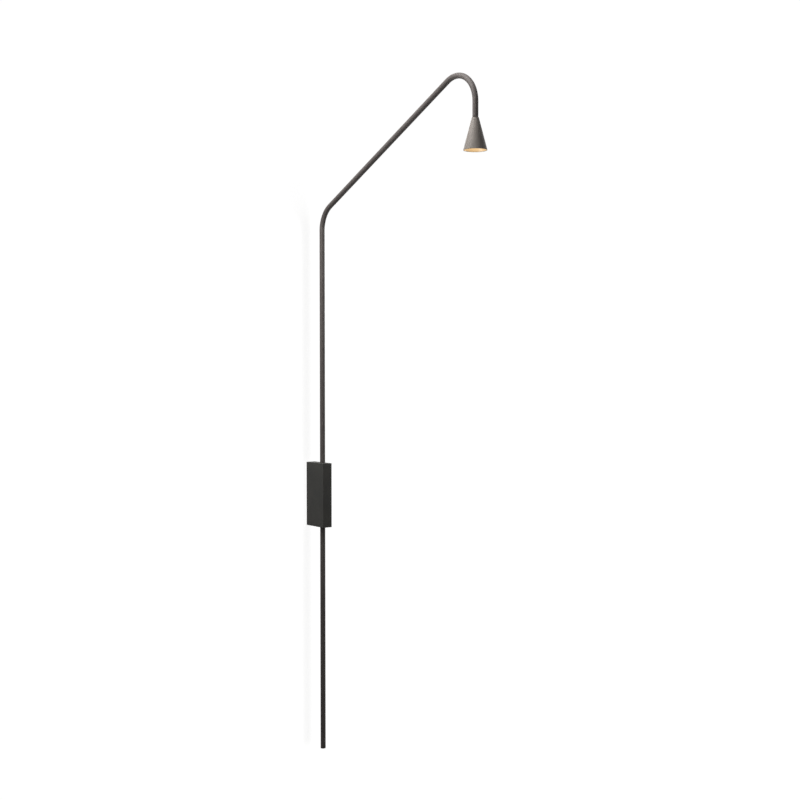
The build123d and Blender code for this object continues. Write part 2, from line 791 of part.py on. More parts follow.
# Insert in the tube's end: spigot in the tube, dark seam ring, hollow thread through the shade's top
thread_radius = insert_thread / 2
thread_length = seam_height + shade_top_wall + sink_length / 2
with BuildPart() as arm_insert:
    with BuildSketch(Plane(origin=(0, shade_y, drop_end_z))):
        Circle(tube_bore_radius - seat_clearance)
    extrude(amount=insert_length)
    with BuildSketch(Plane(origin=(0, shade_y, shade_top_z))):
        Circle(tube_radius - seam_inset)
    extrude(amount=seam_height)
    with BuildSketch(Plane(origin=(0, shade_y, drop_end_z))):
        Circle(thread_radius)
    extrude(amount=-thread_length)
    with BuildSketch(Plane(origin=(0, shade_y, drop_end_z - thread_length))):
        Circle(insert_bore / 2)
    extrude(amount=thread_length + insert_length, mode=Mode.SUBTRACT)
finish(arm_insert, "arm_insert")

# Shade: a thin cone with a flat top
shade_top_radius = shade_top_diameter / 2
shade_rim_radius = shade_rim_diameter / 2
shade_hole_radius = thread_radius + loose_clearance
with BuildPart() as shade:
    with BuildSketch(shade_plane):
        with BuildLine():
            Polyline(
                (shade_hole_radius, 0),
                (shade_top_radius, 0),
                (shade_rim_radius, -shade_height),
                (shade_inner_radius(shade_height), -shade_height),
                (shade_inner_radius(shade_top_wall), -shade_top_wall),
                (shade_hole_radius, -shade_top_wall),
                close=True,
            )
        make_face()
    revolve(axis=shade_axis)
    fillet(shade.edges().group_by(Axis.Z)[0], radius=shade_edge)
    fillet(shade.edges().group_by(Axis.Z)[-1].sort_by(SortBy.RADIUS)[-1], radius=shade_edge)
finish(shade, "shade")

# Heat sink: a tapered aluminium slug that screws on the insert and clamps the shade
sink_top_radius = shade_inner_radius(shade_top_wall) - loose_clearance
sink_low_radius = shade_inner_radius(sink_depth) - loose_clearance
thread_end_depth = shade_top_wall + sink_length / 2 + loose_clearance
screw_circle_radius = board_screw_circle / 2
core_slot_length = 2 * core_spread + sink_slot_width
with BuildPart() as heat_sink:
    with BuildSketch(shade_plane):
        with BuildLine():
            Polyline(
                (0, -shade_top_wall),
                (sink_top_radius, -shade_top_wall),
                (sink_low_radius, -sink_depth),
                (0, -sink_depth),
                close=True,
            )
        make_face()
    revolve(axis=shade_axis)
    with BuildSketch(below_shade_top(thread_end_depth)):
        Circle(thread_radius + thread_clearance)
    extrude(amount=thread_end_depth, mode=Mode.SUBTRACT)
    with BuildSketch(below_shade_top(sink_depth)):
        Circle(insert_bore / 2)
    extrude(amount=sink_length, mode=Mode.SUBTRACT)
    with BuildSketch(below_shade_top(sink_depth)):
        SlotOverall(core_slot_length, sink_slot_width)
    extrude(amount=sink_slot_depth, mode=Mode.SUBTRACT)
    with BuildSketch(below_shade_top(sink_depth)):
        with Locations((0, screw_circle_radius), (0, -screw_circle_radius)):
            Circle(board_screw_diameter / 2 + thread_clearance)
    extrude(amount=board_screw_length, mode=Mode.SUBTRACT)
finish(heat_sink, "heat_sink")

# The lead's two cores spread apart in the heat sink's slot and come through the board
core_start = core_diameter / 2 + loose_clearance / 2
core_end_depth = board_depth + core_diameter / 2
slot_top_depth = sink_depth - sink_slot_depth
core_run_depth = slot_top_depth + core_bend_radius
with BuildPart() as led_cores:
    for side in (1, -1):
        with BuildLine(shade_plane):
            FilletPolyline(
                (side * core_start, -lead_end_depth),
                (side * core_start, -core_run_depth),
                (side * core_spread, -core_run_depth),
                (side * core_spread, -core_end_depth),
                radius=core_bend_radius,
            )
        with BuildSketch(below_shade_top(lead_end_depth)):
            with Locations((side * core_start, 0)):
                Circle(core_diameter / 2)
        sweep()
finish(led_cores, "led_cores")

with BuildPart() as led_board:
    with BuildSketch(below_shade_top(board_depth)):
        Circle(board_diameter / 2)
        with Locations((core_spread, 0), (-core_spread, 0)):
            Circle(core_diameter / 2 + loose_clearance / 2, mode=Mode.SUBTRACT)
        with Locations((0, screw_circle_radius), (0, -screw_circle_radius)):
            Circle(board_screw_diameter / 2 + thread_clearance, mode=Mode.SUBTRACT)
    extrude(amount=board_thickness)
finish(led_board, "led_board")

with BuildPart() as led_chip:
    with BuildSketch(below_shade_top(board_depth)):
        Circle(chip_diameter / 2)
    extrude(amount=-chip_height)
    with BuildSketch(below_shade_top(board_depth + chip_height)):
        Circle(dome_diameter / 2)
    extrude(amount=-dome_height)
    fillet(led_chip.edges().sort_by(Axis.Z)[0], radius=dome_height / 2)
finish(led_chip, "led_chip")

board_screw = pan_screw(board_screw_diameter, board_screw_length, board_screw_head, cup_foot_height / 2)
with BuildPart() as board_screws:
    with Locations(
        Location((0, shade_y + screw_circle_radius, shade_top_z - board_depth), (180, 0, 0)),
        Location((0, shade_y - screw_circle_radius, shade_top_z - board_depth), (180, 0, 0)),
    ):
        add(board_screw)
finish(board_screws, "board_screws")

# Reflector cup: a straight foot round the chip, then a white cone down to the lens
cup_foot_radius = chip_diameter / 2 + seat_clearance
cup_mouth_radius = shade_inner_radius(lens_depth) - loose_clearance
with BuildPart() as reflector_cup:
    with BuildSketch(shade_plane):
        with BuildLine():
            Polyline(
                (cup_foot_radius, -board_depth),
                (cup_foot_radius + cup_wall, -board_depth),
                (cup_foot_radius + cup_wall, -board_depth - cup_foot_height),
                (cup_mouth_radius, -lens_depth),
                (cup_mouth_radius - cup_wall, -lens_depth),
                (cup_foot_radius, -board_depth - cup_foot_height),
                close=True,
            )
        make_face()
    revolve(axis=shade_axis)
finish(reflector_cup, "reflector_cup")

# Lens: a frosted disc whose edge follows the cone, held up by a ring
with BuildPart() as lens:
    with BuildSketch(shade_plane):
        with BuildLine():
            Polyline(
                (0, -lens_depth),
                (shade_inner_radius(lens_depth) - loose_clearance, -lens_depth),
                (shade_inner_radius(ring_depth) - loose_clearance, -ring_depth),
                (0, -ring_depth),
                close=True,
            )
        make_face()
    revolve(axis=shade_axis)
finish(lens, "lens")

ring_low_depth = ring_depth + ring_height
with BuildPart() as lens_ring:
    with BuildSketch(shade_plane):
        with BuildLine():
            Polyline(
                (shade_inner_radius(ring_depth) - cone_clearance, -ring_depth),
                (shade_inner_radius(ring_low_depth) - cone_clearance, -ring_low_depth),
                (shade_inner_radius(ring_low_depth) - cone_clearance - ring_width, -ring_low_depth),
                (shade_inner_radius(ring_depth) - cone_clearance - 2 * ring_width, -ring_depth),
                close=True,
            )
        make_face()
    revolve(axis=shade_axis)
finish(lens_ring, "lens_ring")
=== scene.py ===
import json
import math

import bmesh
import bpy
import numpy as np
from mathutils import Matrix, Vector


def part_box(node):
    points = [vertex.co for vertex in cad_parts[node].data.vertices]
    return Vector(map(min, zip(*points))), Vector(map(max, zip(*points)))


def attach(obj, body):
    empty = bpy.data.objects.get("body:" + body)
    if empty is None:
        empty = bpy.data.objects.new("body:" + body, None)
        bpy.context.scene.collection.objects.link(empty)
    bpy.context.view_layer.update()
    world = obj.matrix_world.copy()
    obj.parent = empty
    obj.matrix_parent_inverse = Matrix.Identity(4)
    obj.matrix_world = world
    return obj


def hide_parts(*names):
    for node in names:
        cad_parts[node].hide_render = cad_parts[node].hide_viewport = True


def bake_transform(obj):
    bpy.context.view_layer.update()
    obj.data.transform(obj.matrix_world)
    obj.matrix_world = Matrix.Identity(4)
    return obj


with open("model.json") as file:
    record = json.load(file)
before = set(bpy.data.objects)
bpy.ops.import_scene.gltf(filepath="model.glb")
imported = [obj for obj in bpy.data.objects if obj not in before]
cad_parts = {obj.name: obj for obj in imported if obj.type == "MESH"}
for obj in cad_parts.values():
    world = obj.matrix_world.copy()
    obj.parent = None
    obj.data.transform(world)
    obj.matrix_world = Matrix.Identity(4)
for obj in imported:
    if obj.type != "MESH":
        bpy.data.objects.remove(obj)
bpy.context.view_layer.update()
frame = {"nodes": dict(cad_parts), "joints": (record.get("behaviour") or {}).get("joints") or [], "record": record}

# Wall lamp: a flat box on the wall, a bent tube that swivels in it, and a small cone shade with a warm lamp.
# Shapes are worked out in millimetres in the CAD's own frame: the wall is Y = 0 and the room is towards -Y.
unit = 0.001      # a millimetre in Blender's metres
tiny = 1e-6       # what counts as nothing, in a division or between two points
hairGap = 0.01    # millimetres between points or faces that would otherwise fall together
sharpAngle = 35   # degrees between two faces, past which their edge is hard
slotOfNode = {row["node"]: row["material_slot"] for row in frame["record"]["subparts"]}
bodyOfNode = {node: body for body, nodes in frame["record"]["behaviour"]["bodies"].items() for node in nodes}
mastAxis = np.array(frame["joints"][0]["pos_m"]) / unit


def cadBox(node):
    # A CAD node's lowest and highest corner, in millimetres.
    low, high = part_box(node)
    return np.array(low) / unit, np.array(high) / unit


shadeLow, shadeHigh = cadBox("shade")
shadeAxis = np.array([0.0, (shadeLow[1] + shadeHigh[1]) / 2, 0.0])
shadeTop = shadeHigh[2]


def roundCorners(corners, radii, steps=8, closed=True):
    # Each corner becomes an arc that touches both of its sides. The arc's centre lies on the corner's
    # bisector, and its points turn evenly from one touching point to the other.
    point = np.array(corners, float)
    radius = np.broadcast_to(np.array(radii, float), len(point)).copy()
    if not closed:
        radius[[0, -1]] = 0
    before = np.roll(point, 1, 0) - point
    after = np.roll(point, -1, 0) - point
    before /= np.linalg.norm(before, axis=1, keepdims=True)
    after /= np.linalg.norm(after, axis=1, keepdims=True)
    half = np.arccos(np.clip((before * after).sum(1), -1, 1)) / 2
    bisector = before + after
    bisector /= np.maximum(np.linalg.norm(bisector, axis=1, keepdims=True), tiny)
    centre = point + bisector * (radius / np.maximum(np.sin(half), tiny))[:, None]
    reach = (radius / np.maximum(np.tan(half), tiny))[:, None]
    first, last = point + before * reach - centre, point + after * reach - centre
    turn = np.maximum(np.pi - 2 * half, tiny)[:, None, None]
    share = np.linspace(0, 1, steps)[None, :, None]
    arc = np.sin((1 - share) * turn) * first[:, None] + np.sin(share * turn) * last[:, None]
    ring = (centre[:, None] + arc / np.sin(turn)).reshape(-1, 2)
    # A corner without a radius gives one point many times, and only its first stays.
    apart = np.linalg.norm(ring - np.roll(ring, 1, 0), axis=1) > hairGap / 100
    apart[0] = True
    return ring[apart]


def anglesRound(sides):
    # Evenly spaced angles, once round.
    return np.linspace(0, 2 * np.pi, sides, endpoint=False)


def revolve(rows, angle, centre, axis="z"):
    # Every row (radius, height) goes round the axis: radius times cosine, radius times sine, and its height,
    # which then comes to lie along the axis that is asked for. A radius is one number, or one for each angle.
    radii = np.array([radius + 0 * angle for radius, height in rows])
    heights = np.array([height + 0 * angle for radius, height in rows])
    turned = np.stack([radii * np.cos(angle), radii * np.sin(angle), heights], -1)
    return np.roll(turned, {"z": 0, "y": 2}[axis], -1) + np.array(centre, float)


def gridFaces(rows, columns, closeRows):
    # Each face joins a grid point to its neighbours in the next column and row. The columns always wrap
    # round, and the rows where they close.
    i = np.arange(rows if closeRows else rows - 1)[:, None]
    j = np.arange(columns)[None, :]
    nextI, nextJ = (i + 1) % rows, (j + 1) % columns
    corners = (i * columns + j, i * columns + nextJ, nextI * columns + nextJ, nextI * columns + j)
    return np.stack(np.broadcast_arrays(*corners), -1).reshape(-1, 4)


def addToScene(name, data):
    # A new object, in the scene's own collection.
    added = bpy.data.objects.new(name, data)
    bpy.context.scene.collection.objects.link(added)
    return added


def smoothFaces(mesh):
    mesh.polygons.foreach_set("use_smooth", np.ones(len(mesh.polygons), bool))
    mesh.set_sharp_from_angle(angle=math.radians(sharpAngle))


def makePiece(name, points, closeRows=False, capEnds=False):
    # Grid points in millimetres, whose columns close on themselves, become one closed mesh, facing outwards.
    rows, columns = points.shape[:2]
    faces = gridFaces(rows, columns, closeRows).tolist()
    if capEnds:
        faces += [list(range(columns))[::-1], list(range((rows - 1) * columns, rows * columns))]
    mesh = bpy.data.meshes.new(name)
    mesh.from_pydata((points.reshape(-1, 3) * unit).tolist(), [], faces)
    work = bmesh.new()
    work.from_mesh(mesh)
    bmesh.ops.remove_doubles(work, verts=work.verts, dist=tiny)
    if work.calc_volume(signed=True) < 0:
        bmesh.ops.reverse_faces(work, faces=work.faces)
    work.to_mesh(mesh)
    work.free()
    smoothFaces(mesh)
    return addToScene(name, mesh)


def turnedPiece(name, outline, centre, axis="z", sides=96):
    # A turned piece: its outline is closed through the material, or starts and ends on the axis.
    outline = np.array(outline, float)
    onAxis = np.allclose(outline[[0, -1], 0], 0)
    return makePiece(name, revolve(outline, anglesRound(sides), centre, axis), closeRows=not onAxis)


def cutAway(piece, cutters):
    # Holes are cut one after another, and the result becomes the piece's own mesh.
    for cutter in cutters:
        cut = piece.modifiers.new(cutter.name, "BOOLEAN")
        cut.operation = "DIFFERENCE"
        cut.solver = "EXACT"
        cut.object = cutter
    cutMesh = bpy.data.meshes.new_from_object(piece.evaluated_get(bpy.context.evaluated_depsgraph_get()))
    old = piece.data
    piece.modifiers.clear()
    piece.data = cutMesh
    bpy.data.meshes.remove(old)
    cutMesh.name = piece.name
    for cutter in cutters:
        bpy.data.objects.remove(cutter)
    smoothFaces(cutMesh)
    return piece


def weighNormals(piece):
    # Large flat faces keep their own normals, so the small rounded edges carry all of the shading's turn.
    weigh = piece.modifiers.new("flatNormals", "WEIGHTED_NORMAL")
    weigh.keep_sharp = True
    weigh.weight = 80


def rod(name, centre, radius, low, high, axis="z", sides=64):
    # A plain round cutter from low to high along its axis.
    return turnedPiece(name, [(0, low), (radius, low), (radius, high), (0, high)], centre, axis, sides)


def linear(hexColour):
    # sRGB hex to linear RGBA: a straight part near black, and a 2.4 power above it.
    channel = np.array([int(hexColour[k:k + 2], 16) for k in (1, 3, 5)]) / 255
    value = np.where(channel <= 0.04045, channel / 12.92, ((channel + 0.055) / 1.055) ** 2.4)
    return (*value.tolist(), 1.0)


def addNode(tree, kind, inputs=None, output=None, **settings):
    # Adds a node with its settings, links or sets its inputs by name or number, and returns the output
    # that is asked for, or the first.
    node = tree.nodes.new(kind)
    for name, value in settings.items():
        setattr(node, name, value)
    sockets = {socket.name: socket for socket in reversed(node.inputs) if socket.enabled}
    for name, value in (inputs or {}).items():
        socket = node.inputs[name] if isinstance(name, int) else sockets[name]
        if isinstance(value, bpy.types.NodeSocket):
            tree.links.new(value, socket)
        else:
            socket.default_value = value
    results = {socket.name: socket for socket in reversed(node.outputs) if socket.enabled}
    return results[output] if output else next(reversed(results.values()), None)


def newMaterial(name):
    # A material with an empty node tree, and that tree.
    material = bpy.data.materials.new(name)
    material.use_nodes = True
    material.node_tree.nodes.clear()
    return material, material.node_tree


def noiseOf(tree, place, size, detail=2.0):
    # Noise with features of this size in millimetres.
    scale = 1 / (size * unit)
    return addNode(tree, "ShaderNodeTexNoise", {"Vector": place, "Scale": scale, "Detail": detail})


def spread(tree, value, low, high, fromLow=0.32, fromHigh=0.68):
    # A value's own range, by default the middle of a noise's, is stretched to run from low to high.
    return addNode(tree, "ShaderNodeMapRange", {
        "Value": value, "From Min": fromLow, "From Max": fromHigh, "To Min": low, "To Max": high,
    })


def pointGradient(tree, centre, radius):
    # 1 at a point and 0 at this distance from it, in millimetres.
    place = addNode(tree, "ShaderNodeTexCoord", output="Object")
    scale = 1 / (radius * unit)
    centred = addNode(tree, "ShaderNodeMapping", {
        "Vector": place, "Scale": (scale,) * 3, "Location": tuple(-np.array(centre) * unit * scale),
    })
    return addNode(tree, "ShaderNodeTexGradient", {"Vector": centred}, "Fac", gradient_type="SPHERICAL")


def surfaceMaterial(name, look):
    # A cloudy noise mixes two shades. A fine grain, stretched along the working marks where there are any,
    # changes the roughness and lifts the surface by a bump, a quarter as high as the grain is wide.
    look = {**usualFinish, **look}
    material, tree = newMaterial(name)
    place = addNode(tree, "ShaderNodeTexCoord", output="Object")
    grainPlace = place
    if "stretch" in look:
        grainPlace = addNode(tree, "ShaderNodeMapping", {"Vector": place, "Scale": look["stretch"]})
    cloud = spread(tree, noiseOf(tree, place, look["cloudSize"], detail=3.0), 0.0, 1.0)
    grain = noiseOf(tree, grainPlace, look["grainSize"])
    colour = addNode(tree, "ShaderNodeMix", {
        "Factor": cloud, "A": linear(look["shades"][0]), "B": linear(look["shades"][1]),
    }, data_type="RGBA")
    middle, swing = look["roughness"], look["roughSpread"]
    rough = spread(tree, grain, middle - swing, middle + swing)
    bump = addNode(tree, "ShaderNodeBump", {
        "Height": grain, "Strength": look["bump"], "Distance": look["grainSize"] * unit / 4,
    })
    shader = addNode(tree, "ShaderNodeBsdfPrincipled", {
        "Base Color": colour, "Roughness": rough, "Normal": bump, **look.get("shader", {}),
    })
    addNode(tree, "ShaderNodeOutputMaterial", {"Surface": shader})
    return material


print("scene: frame loaded, helpers ready")

# The camera stands left of the lamp and a little above its box, and looks slightly down.
cameraView = {
    "azimuth": -37.81,      # degrees round the lamp from straight in front
    "downTilt": 1.99,       # degrees
    "distance": 2974.3,     # along the view, from the mast
    "mastAside": -181.5,    # how far left of the picture's middle the mast is
    "height": 325.9,
    "lens": 57.23,          # on a sensor this wide:
    "sensor": 36,
    "nearest": 50,          # nothing nearer or farther than these is drawn
    "farthest": 60000,
}
azimuth = math.radians(cameraView["azimuth"])
rightWay = np.array([math.cos(azimuth), math.sin(azimuth), 0])
backWay = np.array([math.sin(azimuth), -math.cos(azimuth), 0])
cameraPlace = mastAxis * (1, 1, 0) - rightWay * cameraView["mastAside"] + backWay * cameraView["distance"]
cameraPlace[2] = cameraView["height"]
camera = addToScene("camera", bpy.data.cameras.new("camera"))
camera.data.lens = cameraView["lens"]
camera.data.sensor_width = cameraView["sensor"]
camera.data.clip_start = cameraView["nearest"] * unit
camera.data.clip_end = cameraView["farthest"] * unit
camera.location = cameraPlace * unit
camera.rotation_euler = (math.radians(90 - cameraView["downTilt"]), 0, azimuth)
bpy.context.scene.camera = camera
bpy.context.scene.view_settings.view_transform = "Standard"

# Studio: white surroundings for the camera and for reflections, and a dim even light from all round.
studio = {
    "aroundStrength": 0.03,
    "aroundColour": "#f4f1ee",
    "floorZ": -760,
    "floorSize": 9000,
    "floorColour": "#f3f2f0",
    "floorBounce": "#484746",    # how the floor lights the lamp from below
    "floorGlow": (1.0, 0.9),     # far from the lamp, and near it, where the floor shows shadows
    "floorNear": 2500,           # from this far to half as far the one fades into the other
    "wallSize": 5000,
    "wallBack": 0.4,             # the wall is this far behind the plate, so that the two never meet
    "wallGlow": 0.845,           # what is left of its white in a full shadow
    "wallPaint": "#fbfbfb",
}
world = bpy.data.worlds.new("studio")
bpy.context.scene.world = world
world.use_nodes = True
world.node_tree.nodes.clear()


def seenDirectly(tree):
    # 1 for the camera's own rays and for those that it sees in a glossy surface or through a clear one.
    direct, glossy, through = (addNode(tree, "ShaderNodeLightPath", output=name)
                               for name in ("Is Camera Ray", "Is Glossy Ray", "Is Transmission Ray"))
    either = addNode(tree, "ShaderNodeMath", {0: direct, 1: glossy}, operation="MAXIMUM")
    return addNode(tree, "ShaderNodeMath", {0: either, 1: through}, operation="MAXIMUM")


white = addNode(world.node_tree, "ShaderNodeBackground", {"Color": (1, 1, 1, 1), "Strength": 1.0})
around = addNode(world.node_tree, "ShaderNodeBackground", {
    "Color": linear(studio["aroundColour"]), "Strength": studio["aroundStrength"],
})
seen = seenDirectly(world.node_tree)
mixed = addNode(world.node_tree, "ShaderNodeMixShader", {"Fac": seen, 1: around, 2: white})
addNode(world.node_tree, "ShaderNodeOutputWorld", {"Surface": mixed})


def areaLight(name, look):
    # A soft box at a place, turned to face its aim, that the camera doesn't see.
    lamp = bpy.data.lights.new(name, "AREA")
    lamp.shape = look.get("shape", "SQUARE")
    lamp.size = look["size"] * unit
    lamp.energy = look["power"]
    lamp.color = linear(look.get("colour", "#ffffff"))[:3]
    lightObject = addToScene(name, lamp)
    place, aim = Vector(look["place"]) * unit, Vector(look["aim"]) * unit
    lightObject.location = place
    lightObject.rotation_mode = "QUATERNION"
    lightObject.rotation_quaternion = (aim - place).to_track_quat("-Z", "Y")
    lightObject.visible_camera = False
    return lightObject


# White soft boxes: places, aims and sizes in millimetres, and powers in watts.
lights = {
    # The main light, high up on the left: the box's side and top, and the left of the tube.
    "sideSoftBox": {"place": (-620, -280, 1400), "aim": (0, -300, 400), "size": 600, "power": 15.5},
    # Above the arm, a little in front of it: the upper side of the arm and the bends.
    "highSoftBox": {"place": (-200, -590, 1450), "aim": (0, -400, 600), "size": 500, "power": 4.4},
    # Lower on the left, turned upwards: the side of the arm and of the cone.
    "frontSoftBox": {"place": (-900, -450, 620), "aim": (0, -300, 1000), "size": 600, "power": 5.1},
    # In front on the right: the box's front face and the right of the tube and the cone.
    "rightSoftBox": {"place": (1500, -800, 800), "aim": (0, -300, 400), "size": 500, "power": 7.5},
    # Behind the wall on the right, which lets it through: a light edge down the right of the tube.
    "rearSoftBox": {"place": (1750, 1090, 400), "aim": (0, 0, 100), "size": 900, "power": 24},
}
lamps = {name: areaLight(name, look) for name, look in lights.items()}

# A wide even light from the front, a little from the right, that only draws the lamp's soft shadow on the
# wall: its direction and spread in degrees, and its strength.
frontWash = {"fromRight": 12.5, "fromAbove": 6.0, "spread": 29.0, "strength": 0.52}
wash = bpy.data.lights.new("frontWash", "SUN")
wash.angle = math.radians(frontWash["spread"])
wash.energy = frontWash["strength"]
lamps["frontWash"] = addToScene("frontWash", wash)
lamps["frontWash"].rotation_euler = np.radians([90 - frontWash["fromAbove"], 0, frontWash["fromRight"]])


def stagePlane(name, corners, material):
    # A flat sheet of the studio, which is no piece of the lamp.
    mesh = bpy.data.meshes.new(name)
    mesh.from_pydata((np.array(corners, float) * unit).tolist(), [], [(0, 1, 2, 3)])
    mesh.materials.append(material)
    plane = addToScene(name, mesh)
    return plane


# Floor: pale matt paper that keeps shadows. What the camera sees is lifted to white far from the lamp.
floorHalf, floorZ = studio["floorSize"] / 2, studio["floorZ"]
floorMaterial, tree = newMaterial("pale matt floor")
floorPaper = addNode(tree, "ShaderNodeBsdfDiffuse", {"Color": linear(studio["floorColour"])})
floorBounce = addNode(tree, "ShaderNodeBsdfDiffuse", {"Color": linear(studio["floorBounce"])})
nearLamp = pointGradient(tree, (0, 0, floorZ), studio["floorNear"])
floorStrength = spread(tree, nearLamp, *studio["floorGlow"], fromLow=0.0, fromHigh=0.5)
floorGlow = addNode(tree, "ShaderNodeEmission", {"Color": (1, 1, 1, 1), "Strength": floorStrength})
floorSum = addNode(tree, "ShaderNodeAddShader", {0: floorPaper, 1: floorGlow})
floorSeen = addNode(tree, "ShaderNodeMixShader", {"Fac": seenDirectly(tree), 1: floorBounce, 2: floorSum})
addNode(tree, "ShaderNodeOutputMaterial", {"Surface": floorSeen})
floor = stagePlane("floor", [(-floorHalf, -floorHalf, floorZ), (floorHalf, -floorHalf, floorZ),
                             (floorHalf, floorHalf, floorZ), (-floorHalf, floorHalf, floorZ)], floorMaterial)

# Wall: white paint that shows only the lamp's soft shadow. From behind it is clear, so that it hides nothing.
wallMaterial, tree = newMaterial("white wall paint")
wallGlow = addNode(tree, "ShaderNodeEmission", {"Color": (1, 1, 1, 1), "Strength": studio["wallGlow"]})
wallPaint = addNode(tree, "ShaderNodeBsdfDiffuse", {"Color": linear(studio["wallPaint"])})
wallFront = addNode(tree, "ShaderNodeAddShader", {0: wallGlow, 1: wallPaint})
wallClear = addNode(tree, "ShaderNodeBsdfTransparent")
behind = addNode(tree, "ShaderNodeNewGeometry", output="Backfacing")
wallSides = addNode(tree, "ShaderNodeMixShader", {"Fac": behind, 1: wallFront, 2: wallClear})
addNode(tree, "ShaderNodeOutputMaterial", {"Surface": wallSides})
wallHalf, wallBack = studio["wallSize"] / 2, studio["wallBack"]
wall = stagePlane("wall", [(-wallHalf, wallBack, floorZ), (wallHalf, wallBack, floorZ),
                           (wallHalf, wallBack, wallHalf), (-wallHalf, wallBack, wallHalf)], wallMaterial)
# The wall sheds no light on the lamp, and neither it nor the floor takes light away.
wall.visible_diffuse = wall.visible_shadow = floor.visible_shadow = False

# Only the front wash lights the wall, and it lights nothing else.
for name, lamp in lamps.items():
    lit = bpy.data.collections.new(name + "Lights")
    lit.objects.link(wall)
    lit.collection_objects[0].light_linking.link_state = "INCLUDE" if name == "frontWash" else "EXCLUDE"
    lamp.light_linking.receiver_collection = lit
print("scene: camera and studio ready")

